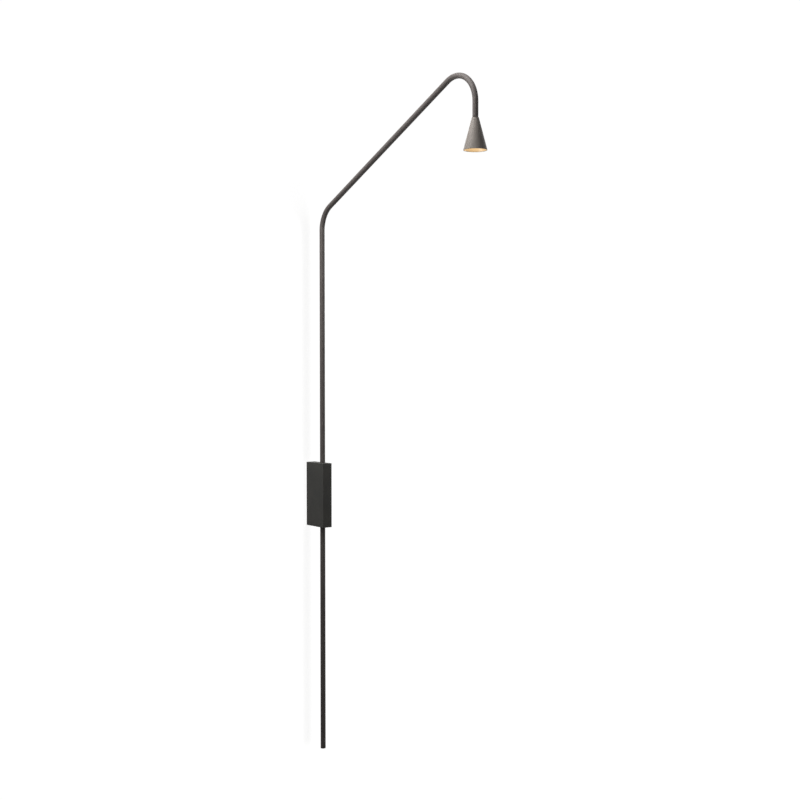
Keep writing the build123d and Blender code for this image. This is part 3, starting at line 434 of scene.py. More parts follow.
# Finishes: two shades, clouding and grain sizes in millimetres, roughness and bump.
lacquer = {"IOR": 1.5, "Specular IOR Level": 0.12}
metal = {"Metallic": 1.0}
wireJacket = {"cloudSize": 6, "grainSize": 0.5, "roughness": 0.45, "stretch": (4, 4, 1)}
usualFinish = {"grainSize": 0.6, "roughSpread": 0.05, "bump": 0.08}    # where a finish says nothing else
finishes = {
    # Satin lacquer on drawn tube: a soft broad highlight, faint clouding and the finest orange peel.
    # Its shades are kept darker than the shade's copy of the same lacquer: painted shade.
    "tube_lacquer": {
        "name": "satin brown-grey lacquer", "shades": ("#504b49", "#56514f"), "cloudSize": 40,
        "grainSize": 2.0, "roughness": 0.48, "roughSpread": 0.04, "bump": 0.04, "shader": lacquer,
    },
    # The same lacquer in a darker copy on the moulded cap: painted shade at the tube's lower end.
    "cap_lacquer": {
        "name": "satin brown-grey lacquer on plastic", "shades": ("#484342", "#4f4a48"), "cloudSize": 12,
        "grainSize": 1.6, "roughness": 0.48, "roughSpread": 0.04, "shader": lacquer,
    },
    # Powder coat, baked on: matt black-grey with a pebbled skin. Its pebbles are 0.4 mm, drawn at 0.9 mm.
    "housing_powder_coat": {
        "name": "black-grey powder coat", "shades": ("#40403e", "#474643"), "cloudSize": 35,
        "grainSize": 0.9, "roughness": 0.65, "roughSpread": 0.06, "bump": 0.22, "shader": lacquer,
    },
    # Zinc plate on pressed steel: cool grey with a faint spangle.
    "zinc_plated_steel": {
        "name": "zinc plated steel", "shades": ("#a1a6a8", "#b3b7b8"), "cloudSize": 6, "grainSize": 0.7,
        "roughness": 0.40, "bump": 0.10, "shader": metal,
    },
    # Moulded rubber: dull, nearly black, with a dusty bloom.
    "black_rubber": {
        "name": "moulded black rubber", "shades": ("#1c1c1c", "#262625"), "cloudSize": 5, "grainSize": 0.5,
        "roughness": 0.78, "roughSpread": 0.08, "bump": 0.20, "shader": {"IOR": 1.52},
    },
    # Moulded nylon: off-white, waxy, with a light spark-eroded texture.
    "white_polyamide": {
        "name": "moulded off-white polyamide", "shades": ("#d9d6cd", "#e5e2da"), "cloudSize": 12,
        "roughness": 0.50, "roughSpread": 0.06, "bump": 0.12, "shader": {"IOR": 1.53},
    },
    # Turned brass: warm yellow metal with fine tool marks round its length.
    "brass": {
        "name": "turned brass", "shades": ("#b08c48", "#c8a75e"), "cloudSize": 4, "grainSize": 0.8,
        "roughness": 0.34, "roughSpread": 0.06, "bump": 0.10, "stretch": (1, 1, 6), "shader": metal,
    },
    # Tinned copper: soft bright grey with a hint of the copper below.
    "tinned_copper": {
        "name": "tinned copper", "shades": ("#b5aca3", "#c9c5be"), "cloudSize": 3, "roughness": 0.38,
        "roughSpread": 0.07, "bump": 0.10, "shader": metal,
    },
    # Extruded PVC, faintly ribbed along its length: green with a yellow cast for earth, and brown.
    "green_pvc": {
        **wireJacket, "name": "green PVC wire jacket", "shades": ("#3d7a35", "#8aa43a"),
    },
    "brown_pvc": {
        **wireJacket, "name": "brown PVC wire jacket", "shades": ("#4a3024", "#5b3c2d"),
    },
    # Glass-epoxy laminate: green solder resist over a woven cloth.
    "green_laminate": {
        "name": "green circuit laminate", "shades": ("#1e5638", "#2a6a47"), "cloudSize": 4,
        "grainSize": 0.8, "roughness": 0.36, "bump": 0.12, "shader": {"IOR": 1.55},
    },
    # Pressed ferrite: dark grey ceramic, slightly sparkling.
    "ferrite": {
        "name": "pressed ferrite", "shades": ("#29292b", "#38383b"), "cloudSize": 3, "grainSize": 0.4,
        "roughness": 0.48, "roughSpread": 0.10, "bump": 0.18,
    },
    # Enamelled copper wire, wound: red-brown metal ribbed by its turns, 0.3 mm apart and drawn at 0.6 mm.
    "enamelled_copper": {
        "name": "enamelled copper winding", "shades": ("#8a4825", "#b4672f"), "cloudSize": 5,
        "roughness": 0.30, "roughSpread": 0.06, "bump": 0.5, "stretch": (1, 1, 0.1),
        "shader": {"Metallic": 0.8},
    },
    # Drawn aluminium can: grey metal with marks along its length.
    "capacitor_can": {
        "name": "drawn aluminium can", "shades": ("#8e9296", "#aaaeb2"), "cloudSize": 6, "roughness": 0.36,
        "roughSpread": 0.06, "stretch": (4, 0.5, 4), "shader": metal,
    },
    # Silicone sleeve: milky white and soft to the eye.
    "white_silicone": {
        "name": "white silicone jacket", "shades": ("#d6d4cd", "#e3e1db"), "cloudSize": 9,
        "roughness": 0.58, "shader": {"IOR": 1.41},
    },
    # Turned acetal: deep black, slightly waxy, with rings from the tool.
    "black_acetal": {
        "name": "turned black acetal", "shades": ("#161616", "#202020"), "cloudSize": 5, "roughness": 0.42,
        "bump": 0.10, "shader": {"IOR": 1.48},
    },
    # Hardened spring steel: blue-grey, oiled.
    "spring_steel": {
        "name": "oiled spring steel", "shades": ("#5c6166", "#787d82"), "cloudSize": 5, "roughness": 0.32,
        "roughSpread": 0.06, "bump": 0.06, "shader": metal,
    },
    # Black oxide on a screw: dark metal that is lighter where a driver has rubbed it.
    "blackened_screw": {
        "name": "black oxide steel", "shades": ("#2a2a2b", "#3a3a3b"), "cloudSize": 2.5, "grainSize": 0.5,
        "roughness": 0.44, "roughSpread": 0.08, "bump": 0.12, "shader": {"Metallic": 0.9},
    },
    # Chemically blackened brass: brown-black, a little brighter on its edges.
    "blackened_brass": {
        "name": "blackened brass", "shades": ("#211c19", "#322a24"), "cloudSize": 3, "roughness": 0.46,
        "roughSpread": 0.06, "shader": {"Metallic": 0.7},
    },
    # Turned aluminium: bright grey with close rings from the lathe, 0.1 mm apart and drawn at 0.4 mm.
    "turned_aluminium": {
        "name": "turned aluminium", "shades": ("#a5a8aa", "#c2c5c6"), "cloudSize": 9, "grainSize": 4.0,
        "roughness": 0.34, "roughSpread": 0.06, "bump": 0.05, "stretch": (1, 1, 10), "shader": metal,
    },
    # White solder resist on the lamp's aluminium board.
    "lamp_board": {
        "name": "white lamp board", "shades": ("#e2e1dc", "#efeeea"), "cloudSize": 5, "roughness": 0.40,
        "bump": 0.06,
    },
    # Phosphor gel over the lamp chip: mustard yellow, slightly uneven.
    "lamp_phosphor": {
        "name": "phosphor gel", "shades": ("#d9a733", "#e9bf55"), "cloudSize": 1.5, "grainSize": 0.4,
        "roughness": 0.35,
    },
    # Moulded white reflector plastic: bright and even.
    "white_reflector": {
        "name": "white reflector plastic", "shades": ("#e6e4de", "#f0eeea"), "cloudSize": 8,
        "roughness": 0.42, "bump": 0.06, "shader": {"IOR": 1.58},
    },
}
materialOfSlot = {slot: surfaceMaterial(look["name"], look) for slot, look in finishes.items()}

# Lit lamp: a lens brightest in its middle, and painted lamp light on the cream enamel, fading to the rim.
glow = {
    "lensBody": "#efece4",
    "lensMiddle": "#ffe9c4",
    "lensEdge": "#ffc983",
    "lensStrength": (0.7, 0.95),       # at the edge and in the middle
    "lensRadius": 20.0,
    "frostSize": 0.5,
    "frostDepth": 0.1,
    "enamel": "#aca08a",
    "enamelPaintedLight": "#ffd394",
    "enamelPaintedLightStrength": (0.42, 0.68),    # at the rim, and from this height above it up to the lens:
    "enamelPaintedLightRise": 6.0,
    "enamelRoughness": (0.26, 0.34),
    "peelSize": 1.5,
    "peelDepth": 0.2,
}


# Frosted acrylic lens: an even warm light with a hot middle, and a fine blasted skin.
def makeLensMaterial(centre):
    material, tree = newMaterial("frosted acrylic lens")
    middle = pointGradient(tree, centre, glow["lensRadius"])
    colour = addNode(tree, "ShaderNodeMix", {
        "Factor": middle, "A": linear(glow["lensEdge"]), "B": linear(glow["lensMiddle"]),
    }, data_type="RGBA")
    strength = spread(tree, middle, *glow["lensStrength"], fromLow=0.0, fromHigh=1.0)
    place = addNode(tree, "ShaderNodeTexCoord", output="Object")
    frost = noiseOf(tree, place, glow["frostSize"])
    bump = addNode(tree, "ShaderNodeBump", {
        "Height": frost, "Strength": 0.15, "Distance": glow["frostDepth"] * unit,
    })
    shader = addNode(tree, "ShaderNodeBsdfPrincipled", {
        "Base Color": linear(glow["lensBody"]), "Roughness": 0.55, "IOR": 1.49, "Normal": bump,
        "Emission Color": colour, "Emission Strength": strength,
    })
    addNode(tree, "ShaderNodeOutputMaterial", {"Surface": shader})
    return material


# Stoved cream enamel inside the cone: smooth and glossy, with the lamp's warm light painted on from above.
def makeEnamelWithPaintedLight(lowZ):
    material, tree = newMaterial("stoved cream enamel")
    place = addNode(tree, "ShaderNodeTexCoord", output="Object")
    height = addNode(tree, "ShaderNodeSeparateXYZ", {"Vector": place}, output="Z")
    fullPaintedLightZ = lowZ + glow["enamelPaintedLightRise"]
    strength = spread(tree, height, *glow["enamelPaintedLightStrength"], fromLow=lowZ * unit, fromHigh=fullPaintedLightZ * unit)
    peel = noiseOf(tree, place, glow["peelSize"])
    bump = addNode(tree, "ShaderNodeBump", {
        "Height": peel, "Strength": 0.06, "Distance": glow["peelDepth"] * unit,
    })
    rough = spread(tree, peel, *glow["enamelRoughness"])
    shader = addNode(tree, "ShaderNodeBsdfPrincipled", {
        "Base Color": linear(glow["enamel"]), "Roughness": rough, "Normal": bump,
        # The emission is painted lamp light on the enamel, strongest near the lens.
        "Emission Color": linear(glow["enamelPaintedLight"]), "Emission Strength": strength,
    })
    addNode(tree, "ShaderNodeOutputMaterial", {"Surface": shader})
    return material


print("scene: materials ready")


def standFor(piece, *nodes, material=None):
    # The piece takes the place, the body and the finish of the CAD nodes that it stands for.
    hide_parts(*nodes)
    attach(piece, bodyOfNode[nodes[0]])
    piece.data.materials.clear()
    piece.data.materials.append(material or materialOfSlot[slotOfNode[nodes[0]]])


def roundedRings(halfWidth, halfHeight, radius, steps=8):
    # Rectangles with round corners, one per row: a corner's centre plus radius times cosine and sine.
    halfWidth, halfHeight, radius = np.broadcast_arrays(*(np.atleast_1d(v).astype(float)[:, None]
                                                          for v in (halfWidth, halfHeight, radius)))
    turn = (np.arange(4)[:, None] * np.pi / 2 + np.linspace(0, np.pi / 2, steps)).ravel()
    signWide, signHigh = np.repeat([1, -1, -1, 1], steps), np.repeat([1, 1, -1, -1], steps)
    wide = signWide * (halfWidth - radius) + radius * np.cos(turn)
    high = signHigh * (halfHeight - radius) + radius * np.sin(turn)
    return np.stack([wide, high], -1)


def stackAlongY(rings, levels):
    # Rings of (x, z) points, each at its own depth y.
    depth = np.broadcast_to(np.array(levels, float)[:, None], rings.shape[:2])
    return np.stack([rings[..., 0], depth, rings[..., 1]], -1)


def pathDirections(path):
    # At each point the mean of the directions before and after it, as a unit vector.
    step = np.diff(path, axis=0)
    step /= np.linalg.norm(step, axis=1, keepdims=True)
    mean = np.vstack([step[:1], step[:-1] + step[1:], step[-1:]])
    return mean / np.linalg.norm(mean, axis=1, keepdims=True)


def divideRuns(path, step):
    # Each straight run gets as many equal parts as it has steps in it: its start plus a share of the run.
    run = np.diff(path, axis=0)
    parts = np.maximum(1, np.round(np.linalg.norm(run, axis=1) / step)).astype(int)
    start = np.repeat(np.arange(len(parts)), parts)
    share = (np.arange(len(start)) - (np.cumsum(parts) - parts)[start]) / parts[start]
    return np.vstack([path[start] + share[:, None] * run[start], path[-1:]])


def carryRings(path, across, upward):
    # Rings stand square to a (y, z) path: its point, plus what is across along X, plus what is upward along
    # the path's direction turned by a right angle.
    direction = pathDirections(path)
    depth = path[:, :1] - direction[:, 1:] * upward
    height = path[:, 1:] + direction[:, :1] * upward
    return np.stack([across, depth, height], -1)


def carryCircle(path, radius, sides=64):
    # A circle carried along a path: radius times cosine across it, and radius times sine upward.
    angle = anglesRound(sides)
    radius = np.broadcast_to(np.array(radius, float), len(path))[:, None]
    return carryRings(path, radius * np.cos(angle), radius * np.sin(angle))


# Bent tube: tail, mast, arm and drop, with the slot in the back of the mast that lets the lead in.
tubeSizes = {
    "radius": 6.0,
    "bore": 5.0,                # its radius, as every bore and hole below
    "mastAbove": 617.5,         # straight mast above the box's middle
    "bendRadius": 60.0,
    "armAngle": 27.0,           # degrees above level
    "seam": 1.0,                # dark gap between the tube's end and the shade
    "endBevel": 0.15,
    "ringStep": 10.0,           # the straight runs have a ring of points this often
    "slotWidth": 5.0,
    "slotLow": -42.0,
    "slotHigh": -20.5,
    "slotMargin": 4.0,          # the rings of points beside the slot are this far past its ends
    "slotDepth": (2.5, 12.0),   # the slot is cut from here to here behind the tube's axis
}
slope = math.radians(tubeSizes["armAngle"])
lowCorner = tubeSizes["mastAbove"] + tubeSizes["bendRadius"] * math.tan((math.pi / 2 - slope) / 2)
highCorner = lowCorner + (mastAxis[1] - shadeAxis[1]) * math.tan(slope)
tubeLow = cadBox("mast_tube")[0][2]
dropEnd = shadeTop + tubeSizes["seam"]
tubeLine = roundCorners([(mastAxis[1], tubeLow), (mastAxis[1], lowCorner), (shadeAxis[1], highCorner),
                         (shadeAxis[1], dropEnd)], tubeSizes["bendRadius"], steps=64, closed=False)
bevel, slotMargin = tubeSizes["endBevel"], tubeSizes["slotMargin"]
slotLow, slotHigh = tubeSizes["slotLow"], tubeSizes["slotHigh"]
stations = [tubeLow + bevel, slotLow - slotMargin, slotHigh + slotMargin]
tubeLine = np.vstack([tubeLine[:1], [(mastAxis[1], z) for z in stations], tubeLine[1:-1],
                      [(shadeAxis[1], dropEnd + bevel)], tubeLine[-1:]])
tubeLine = divideRuns(tubeLine, tubeSizes["ringStep"])
outer = np.full(len(tubeLine), tubeSizes["radius"])
outer[[0, -1]] -= bevel
tubeShell = np.concatenate([carryCircle(tubeLine, outer), carryCircle(tubeLine, tubeSizes["bore"])[::-1]])
mastTube = makePiece("mastTube", tubeShell, closeRows=True)
slotHalf = tubeSizes["slotWidth"] / 2
slotRings = roundedRings([slotHalf] * 2, (slotHigh - slotLow) / 2, slotHalf - hairGap, steps=10)
slotRings[..., 1] += (slotHigh + slotLow) / 2
slotLevels = mastAxis[1] + np.array(tubeSizes["slotDepth"])
slotCutter = makePiece("slotCutter", stackAlongY(slotRings, slotLevels), capEnds=True)
standFor(cutAway(mastTube, [slotCutter]), "mast_tube")

# End cap: a plug with a round lower edge, and a fine groove where it meets the tube.
capSizes = {"length": 4.5, "edge": 0.8, "groove": 0.15, "spigot": 8.0, "spigotGap": 0.02, "spigotEdge": 0.5}
capLow = cadBox("end_cap")[0][2]
capTop = capLow + capSizes["length"]
spigotEnd = capTop + capSizes["spigot"]
spigotRadius = tubeSizes["bore"] - capSizes["spigotGap"]
capOutline = roundCorners(
    [(0, capLow), (tubeSizes["radius"], capLow), (tubeSizes["radius"], capTop), (spigotRadius, capTop),
     (spigotRadius, spigotEnd), (0, spigotEnd)],
    [0, capSizes["edge"], capSizes["groove"], 0, capSizes["spigotEdge"], 0], closed=False)
standFor(turnedPiece("endCap", capOutline, mastAxis * (1, 1, 0)), "end_cap")

# Shade: a spun cone with a flat top, a thin rim rounded on both sides, and cream enamel inside.
shadeSizes = {
    "height": 65.0, "topRadius": 7.0, "rimRadius": 24.25, "wall": 1.0, "topWall": 2.5, "hole": 4.3,
    "edges": (0, 0.3, 0.42, 0.42, 0.3, 0),                       # how round each corner of the outline is
    "enamelFrom": 45.3, "enamelTo": 64.5, "enamelThick": 0.1,    # from and to these depths below the top
}
coneSlope = (shadeSizes["rimRadius"] - shadeSizes["topRadius"]) / shadeSizes["height"]


def coneInside(depth):
    # Radius of the cone's inner wall at a depth below the top: the top's radius plus the slope times the
    # depth, less the wall's thickness measured level.
    return shadeSizes["topRadius"] + coneSlope * depth - shadeSizes["wall"] * math.hypot(1, coneSlope)


def belowTop(outline):
    # Outline of (radius, depth below the shade's top) turned into (radius, height).
    outline = np.array(outline, float)
    return np.stack([outline[:, 0], shadeTop - outline[:, 1]], -1)


rim, topWall = shadeSizes["height"], shadeSizes["topWall"]
shadeOutline = roundCorners(belowTop([
    (shadeSizes["hole"], 0), (shadeSizes["topRadius"], 0), (shadeSizes["rimRadius"], rim),
    (coneInside(rim), rim), (coneInside(topWall), topWall), (shadeSizes["hole"], topWall),
]), shadeSizes["edges"])
shadeCone = turnedPiece("shadeCone", shadeOutline, shadeAxis, sides=128)
# The tube's lacquer in a lighter copy on the shade: painted light where the cone catches more of it.
litShadeLacquer = {**finishes["tube_lacquer"], "shades": ("#69645f", "#726c67")}
standFor(shadeCone, "shade", material=surfaceMaterial("satin brown-grey lacquer on spun sheet", litShadeLacquer))

high, low, thick = shadeSizes["enamelFrom"], shadeSizes["enamelTo"], shadeSizes["enamelThick"]
enamelOutline = belowTop([(coneInside(high) - hairGap, high), (coneInside(low) - hairGap, low),
                          (coneInside(low) - thick, low), (coneInside(high) - thick, high)])
enamel = turnedPiece("shadeEnamel", enamelOutline, shadeAxis, sides=128)
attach(enamel, "mast")
enamel.data.materials.append(makeEnamelWithPaintedLight(shadeTop - low))

# Insert: spigot in the tube, a dark ring in the seam, and a hollow thread down into the shade.
insertSizes = {
    "bore": 2.5, "thread": 4.0, "ring": 5.5, "threadLength": 13.5, "spigotLength": 14.0,
    "edges": (0.2, 0.4, 0, 0.1, 0.1, 0, 0.4, 0.2),
}
insertBore, thread, seamRing = insertSizes["bore"], insertSizes["thread"], insertSizes["ring"]
insertLow, insertHigh = dropEnd - insertSizes["threadLength"], dropEnd + insertSizes["spigotLength"]
insertOutline = roundCorners([
    (insertBore, insertLow), (thread, insertLow), (thread, shadeTop), (seamRing, shadeTop),
    (seamRing, dropEnd), (spigotRadius, dropEnd), (spigotRadius, insertHigh), (insertBore, insertHigh),
], insertSizes["edges"])
standFor(turnedPiece("armInsert", insertOutline, shadeAxis), "arm_insert")

# Lens and its ring: a frosted disc whose edge follows the cone, and the white ring that holds it up.
lensSizes = {
    "top": 37.1, "bottom": 40.1, "ringBottom": 45.1,    # depths below the shade's top
    "gap": 0.3, "edges": (0, 0.3, 0.3, 0),
    "ringGap": 0.1, "ringWidth": 1.2, "ringEdges": (0.1, 0.3, 0.4, 0.2),
}
lensTop, lensLow, ringLow = lensSizes["top"], lensSizes["bottom"], lensSizes["ringBottom"]
lensOutline = roundCorners(belowTop([
    (0, lensTop), (coneInside(lensTop) - lensSizes["gap"], lensTop),
    (coneInside(lensLow) - lensSizes["gap"], lensLow), (0, lensLow),
]), lensSizes["edges"], closed=False)
lensCentre = (0, shadeAxis[1], shadeTop - lensLow)
lampLens = turnedPiece("lampLens", lensOutline, shadeAxis, sides=128)
standFor(lampLens, "lens", material=makeLensMaterial(lensCentre))
ringGap, ringWidth = lensSizes["ringGap"], lensSizes["ringWidth"]
ringOutline = roundCorners(belowTop([
    (coneInside(lensLow) - ringGap, lensLow), (coneInside(ringLow) - ringGap, ringLow),
    (coneInside(ringLow) - ringGap - ringWidth, ringLow),
    (coneInside(lensLow) - ringGap - 2 * ringWidth, lensLow),
]), lensSizes["ringEdges"])
standFor(turnedPiece("lensRing", ringOutline, shadeAxis, sides=128), "lens_ring")
print("scene: tube, cap, shade and lens made")

# Housing: a thin box open to the wall, with soft edges, the mast's two holes and two countersunk screw holes.
boxSizes = {
    "width": 24.0, "height": 150.0, "depth": 70.0, "wall": 1.5, "endWall": 3.0,
    "gap": 0.3,                          # between the wall and the box's open back
    "edge": 0.5, "innerCorner": 0.3, "backBevel": 0.2,
    "sleeveHole": 7.07,
    "screwHole": 1.55, "screwHead": 2.82, "screwHalfAngle": 41.0, "screwFromWall": 8.0,
    "pinHole": 1.52, "pinFromMast": 10.0, "pinSeat": 2.0,
    "cutPast": 1.0, "sinkAbove": 0.3,    # how far cutters reach past the faces that they open
}
halfWide, halfTall = boxSizes["width"] / 2, boxSizes["height"] / 2
innerWide, innerTall = halfWide - boxSizes["wall"], halfTall - boxSizes["endWall"]
backBevel, edge, innerCorner = boxSizes["backBevel"], boxSizes["edge"], boxSizes["innerCorner"]
backLevel, innerFront = -boxSizes["gap"], -boxSizes["depth"] + boxSizes["wall"]
# Rings of points run from the inner front to the open back, round its bevels and along the outside. Round the
# front edge they move in by the edge times one less cosine, and forward by the edge times sine.
edgeTurn = np.linspace(0, np.pi / 2, 9)
inset = edge * (1 - np.cos(edgeTurn))
frontLevels = -boxSizes["depth"] + edge * (1 - np.sin(edgeTurn))
levels = np.concatenate([[innerFront, backLevel - backBevel, backLevel, backLevel, backLevel - backBevel],
                         frontLevels])
wides = np.concatenate([[innerWide, innerWide, innerWide + backBevel, halfWide - backBevel, halfWide],
                        halfWide - inset])
talls = wides + np.concatenate([[innerTall - innerWide] * 3, [halfTall - halfWide] * (2 + len(inset))])
cornerRadii = np.concatenate([[innerCorner, innerCorner, innerCorner + backBevel, edge - backBevel, edge],
                              edge - inset])
housing = makePiece("housingBox", stackAlongY(roundedRings(wides, talls, cornerRadii), levels), capEnds=True)
past, above = boxSizes["cutPast"], boxSizes["sinkAbove"]
pinPlace = mastAxis + (0, boxSizes["pinFromMast"], 0)
screwPlace = (0, -boxSizes["screwFromWall"], 0)
screwHole, widening = boxSizes["screwHole"], math.tan(math.radians(boxSizes["screwHalfAngle"]))
sinkDepth = (boxSizes["screwHead"] - screwHole) / widening
boxCutters = [rod("mastHole", mastAxis, boxSizes["sleeveHole"], -halfTall - 5 * past, halfTall + 5 * past),
              rod("pinHole", pinPlace, boxSizes["pinHole"], -innerTall - boxSizes["pinSeat"],
                  -innerTall + past, sides=32)]
for side in (1, -1):
    sinkOutline = [(0, halfTall + above), (boxSizes["screwHead"] + above * widening, halfTall + above),
                   (screwHole, halfTall - sinkDepth), (screwHole, innerTall - past), (0, innerTall - past)]
    sinkOutline = np.array(sinkOutline) * (1, side)
    boxCutters.append(turnedPiece(f"screwSink{side}", sinkOutline, screwPlace, sides=48))
cutAway(housing, boxCutters)
standFor(housing, "housing")
weighNormals(housing)


def joinPieces(name, parts):
    # Several shells become one mesh.
    work = bmesh.new()
    for part in parts:
        work.from_mesh(part.data)
        bpy.data.objects.remove(part)
    mesh = bpy.data.meshes.new(name)
    work.to_mesh(mesh)
    work.free()
    smoothFaces(mesh)
    return addToScene(name, mesh)


# Housing screws: countersunk heads flush with the end walls, each with a hexagon socket.
screwSizes = {
    "head": 2.8, "shank": 1.5, "length": 5.3, "tipBevel": 0.4,
    "socket": 0.87, "socketDepth": 1.3, "socketFloor": 0.2,
    "bevel": 0.08,                 # depth of the bevels round the head and the socket's mouth
    "bevelInset": (0.12, 0.02),    # how far inside the head's radius its bevel starts and ends
}


def countersunkScrew(name, centre, top, side):
    # Rows of rings from the socket's floor, up its six flats, over the head and down the shank. A flat's
    # distance in each direction is the socket's half width over the cosine from the flat's middle.
    angle = anglesRound(72)
    flats = screwSizes["socket"] / np.cos(angle % (np.pi / 3) - np.pi / 6)
    head, shank, length, tip = (screwSizes[key] for key in ("head", "shank", "length", "tipBevel"))
    socketDepth, bevel, (inner, outer) = (screwSizes[key] for key in ("socketDepth", "bevel", "bevelInset"))
    rows = [(0, socketDepth + screwSizes["socketFloor"]), (flats, socketDepth), (flats, bevel),
            (flats + bevel, 0), (head - inner, 0), (head - outer, bevel), (shank, (head - shank) / widening),
            (shank, length - tip), (shank - tip, length), (0, length)]
    rows = [(radius, side * (top - depth)) for radius, depth in rows]
    return makePiece(name, revolve(rows, angle, centre))


standFor(joinPieces("housingScrews", [countersunkScrew(f"screw{side}", screwPlace, halfTall, side)
                                      for side in (1, -1)]), "housing_screws")

# Bushes: a round sleeve in the end wall and a square flange inside, round the mast.
bushSizes = {"bore": 6.05, "sleeve": 7.05, "flange": 1.2, "half": 10.2, "lowerHalf": 11.7, "bevel": 0.2}


def bush(name, side, halfAlong):
    # Rows of rings from the bore's inner end, out to the wall's face, round the sleeve and out to the flange.
    # The flange's edge in each direction is the nearer of its two sides.
    corner = math.atan2(halfAlong, bushSizes["half"])
    cornerAngles = [corner, np.pi - corner, np.pi + corner, 2 * np.pi - corner]
    angle = np.unique(np.concatenate([anglesRound(72), cornerAngles]).round(9))
    square = np.minimum(bushSizes["half"] / np.maximum(abs(np.cos(angle)), tiny),
                        halfAlong / np.maximum(abs(np.sin(angle)), tiny))
    bore, sleeve, edgeBevel = bushSizes["bore"], bushSizes["sleeve"], bushSizes["bevel"]
    flangeLow = innerTall - bushSizes["flange"]
    rows = [(bore, flangeLow), (bore, halfTall - edgeBevel), (bore + edgeBevel, halfTall),
            (sleeve - edgeBevel, halfTall), (sleeve, halfTall - edgeBevel),
            (sleeve, innerTall), (square, innerTall), (square, flangeLow)]
    rows = [(radius, side * height) for radius, height in rows]
    return makePiece(name, revolve(rows, angle, mastAxis * (1, 1, 0)), closeRows=True)


standFor(bush("topBush", 1, bushSizes["half"]), "top_bush")
lowerBush = bush("bottomBush", -1, bushSizes["lowerHalf"])
pinCutter = rod("pinCutter", pinPlace, boxSizes["pinHole"], -innerTall - past, -innerTall + 3 * past,
                sides=32)
standFor(cutAway(lowerBush, [pinCutter]), "bottom_bush")
print("scene: box, screws and bushes made")

# Wall plate: bent from one strip, with a narrower tab at each end and holes for screws, pegs and the cable.
plateSizes = {
    "thick": 2.0, "halfWide": 10.2, "halfTall": 71.7, "corner": 1.5, "edge": 0.25,
    "tabHalf": 8.0, "tabLength": 14.0, "bend": 1.5, "tabHole": 1.55,
}
# Its line runs in the middle of the sheet's thickness.
middleY, middleZ = -plateSizes["thick"] / 2, plateSizes["halfTall"] - plateSizes["thick"] / 2
plateLine = roundCorners([(-plateSizes["tabLength"], middleZ), (middleY, middleZ), (middleY, -middleZ),
                          (-plateSizes["tabLength"], -middleZ)], plateSizes["bend"], steps=10, closed=False)
# Past each bend the strip widens in a quarter circle: its radius times one less cosine along the strip, and
# times sine across it.
corner, cornerTurn = plateSizes["corner"], np.linspace(0, np.pi / 2, 8)
along = corner * (1 - np.cos(cornerTurn))
growth = plateSizes["halfWide"] - corner + corner * np.sin(cornerTurn)
shoulder = np.stack([0 * along + middleY, middleZ - plateSizes["bend"] - 2 * hairGap - along], -1)
split = len(plateLine) // 2
plateLine = np.vstack([plateLine[:split], shoulder, (shoulder * (1, -1))[::-1], plateLine[split:]])
tabHalf = np.full(split, plateSizes["tabHalf"])
plateHalf = np.concatenate([tabHalf, growth, growth[::-1], tabHalf])
plateRings = roundedRings(plateHalf, plateSizes["thick"] / 2, plateSizes["edge"], steps=5)
platePoints = carryRings(plateLine, plateRings[..., 0], plateRings[..., 1])
wallPlate = makePiece("wallPlate", platePoints, capEnds=True)
plateHoles = {    # x, z and radius of each hole through the plate
    "upperWallScrew": (0, 63, 2.25), "lowerWallScrew": (0, -63, 2.25), "grommet": (3, 51, 4.82),
    "earthScrew": (-6, 58.5, 1.55), "upperDriverScrew": (0, 22, 1.55), "lowerDriverScrew": (0, -17, 1.55),
    "pegRight": (3, 34.5, 1.52), "pegLeft": (-3, 34.5, 1.52),
}
plateCutters = [rod(name, (x, 0, z), radius, -plateSizes["thick"] - 2 * past, past, axis="y", sides=48)
                for name, (x, z, radius) in plateHoles.items()]
plateCutters += [rod(f"tabHole{side}", (0, -boxSizes["screwFromWall"], side * middleZ), plateSizes["tabHole"],
                     -3 * past, 3 * past, sides=48) for side in (1, -1)]
cutAway(wallPlate, plateCutters)
standFor(wallPlate, "wall_plate")
weighNormals(wallPlate)

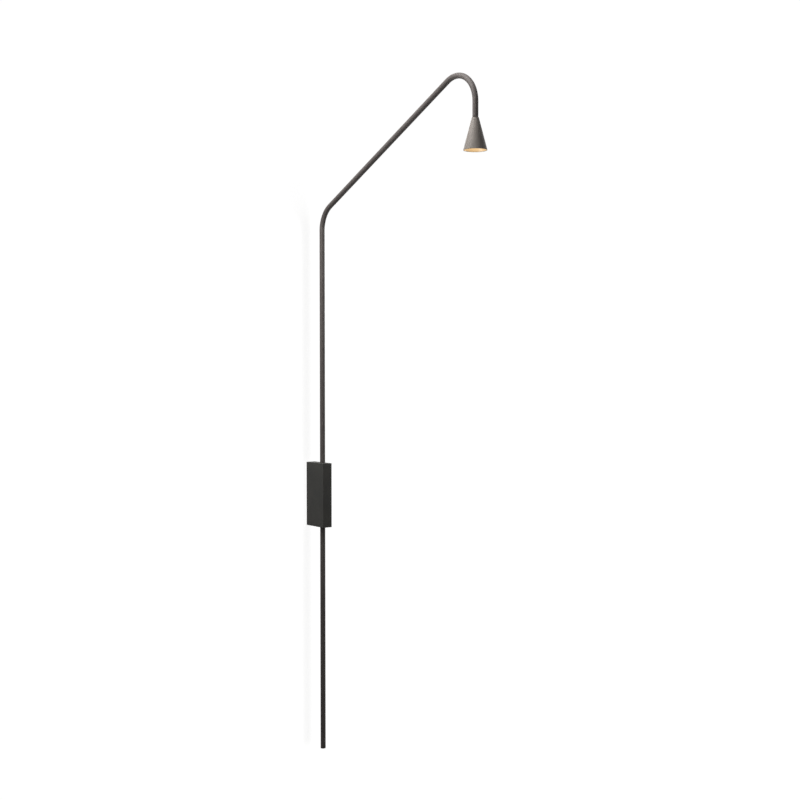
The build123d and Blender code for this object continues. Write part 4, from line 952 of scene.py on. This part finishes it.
# Cable grommet: a rubber ring with a round lip on the plate's front and a neck through it.
grommetSizes = {
    "bore": 3.6, "lip": 6.0, "neck": 4.8, "lipThick": 1.2,
    "edges": (0.4, 0.5, 0.3, 0.05, 0.15, 0.4),
}
bore, lip, neck = grommetSizes["bore"], grommetSizes["lip"], grommetSizes["neck"]
lipBack = -plateSizes["thick"]
lipFront = lipBack - grommetSizes["lipThick"]
grommetOutline = roundCorners([(bore, lipFront), (lip, lipFront), (lip, lipBack), (neck, lipBack), (neck, 0),
                               (bore, 0)], grommetSizes["edges"])
grommetX, grommetZ = plateHoles["grommet"][:2]
grommet = turnedPiece("cableGrommet", grommetOutline, (grommetX, 0, grommetZ), axis="y")
standFor(grommet, "cable_grommet")

# Lead loop: slack from the driver's plug down and up into the mast for its turning, made as one fixed shape.
loopSizes = {"radius": 1.7, "plugY": -17.0, "plugLow": -21.5, "bend": 16.5, "end": -23.0, "sides": 32}
loopLow = loopSizes["end"] - loopSizes["bend"]
loopCorners = [(loopSizes["plugY"], loopSizes["plugLow"]), (loopSizes["plugY"], loopLow),
               (mastAxis[1], loopLow), (mastAxis[1], loopSizes["end"])]
loopLine = roundCorners(loopCorners, loopSizes["bend"], steps=32, closed=False)
loop = makePiece("leadLoop", carryCircle(loopLine, loopSizes["radius"], loopSizes["sides"]), capEnds=True)
loop.data.materials.append(materialOfSlot["white_silicone"])
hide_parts("led_lead_loop")
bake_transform(loop)
print("scene: plate, grommet and lead loop made")

# The CAD nodes that stay get the finish of their own slot.
shownNodes = [node for node in frame["nodes"].values() if not node.hide_render]
for node in shownNodes:
    node.data.materials.clear()
    node.data.materials.append(materialOfSlot[slotOfNode[node.name]])
print("scene:", len(shownNodes), "CAD nodes keep their shape")

# The photo shows the tube's shadow on the wall and none of the box, so the front wash passes the box.
shadowMakers = bpy.data.collections.new("frontWashShadows")
for piece in (mastTube, shadeCone):
    shadowMakers.objects.link(piece)
lamps["frontWash"].light_linking.blocker_collection = shadowMakers

# Lamp light: warm, from just under the lens, onto the enamel and down.
lampLook = {"underLens": 0.5, "size": 26, "shape": "DISK", "power": 0.001, "colour": "#ffd9a0"}
lampPlace = (0, shadeAxis[1], lensCentre[2] - lampLook["underLens"])
areaLight("warmLamp", {**lampLook, "place": lampPlace, "aim": (0, shadeAxis[1], studio["floorZ"])})
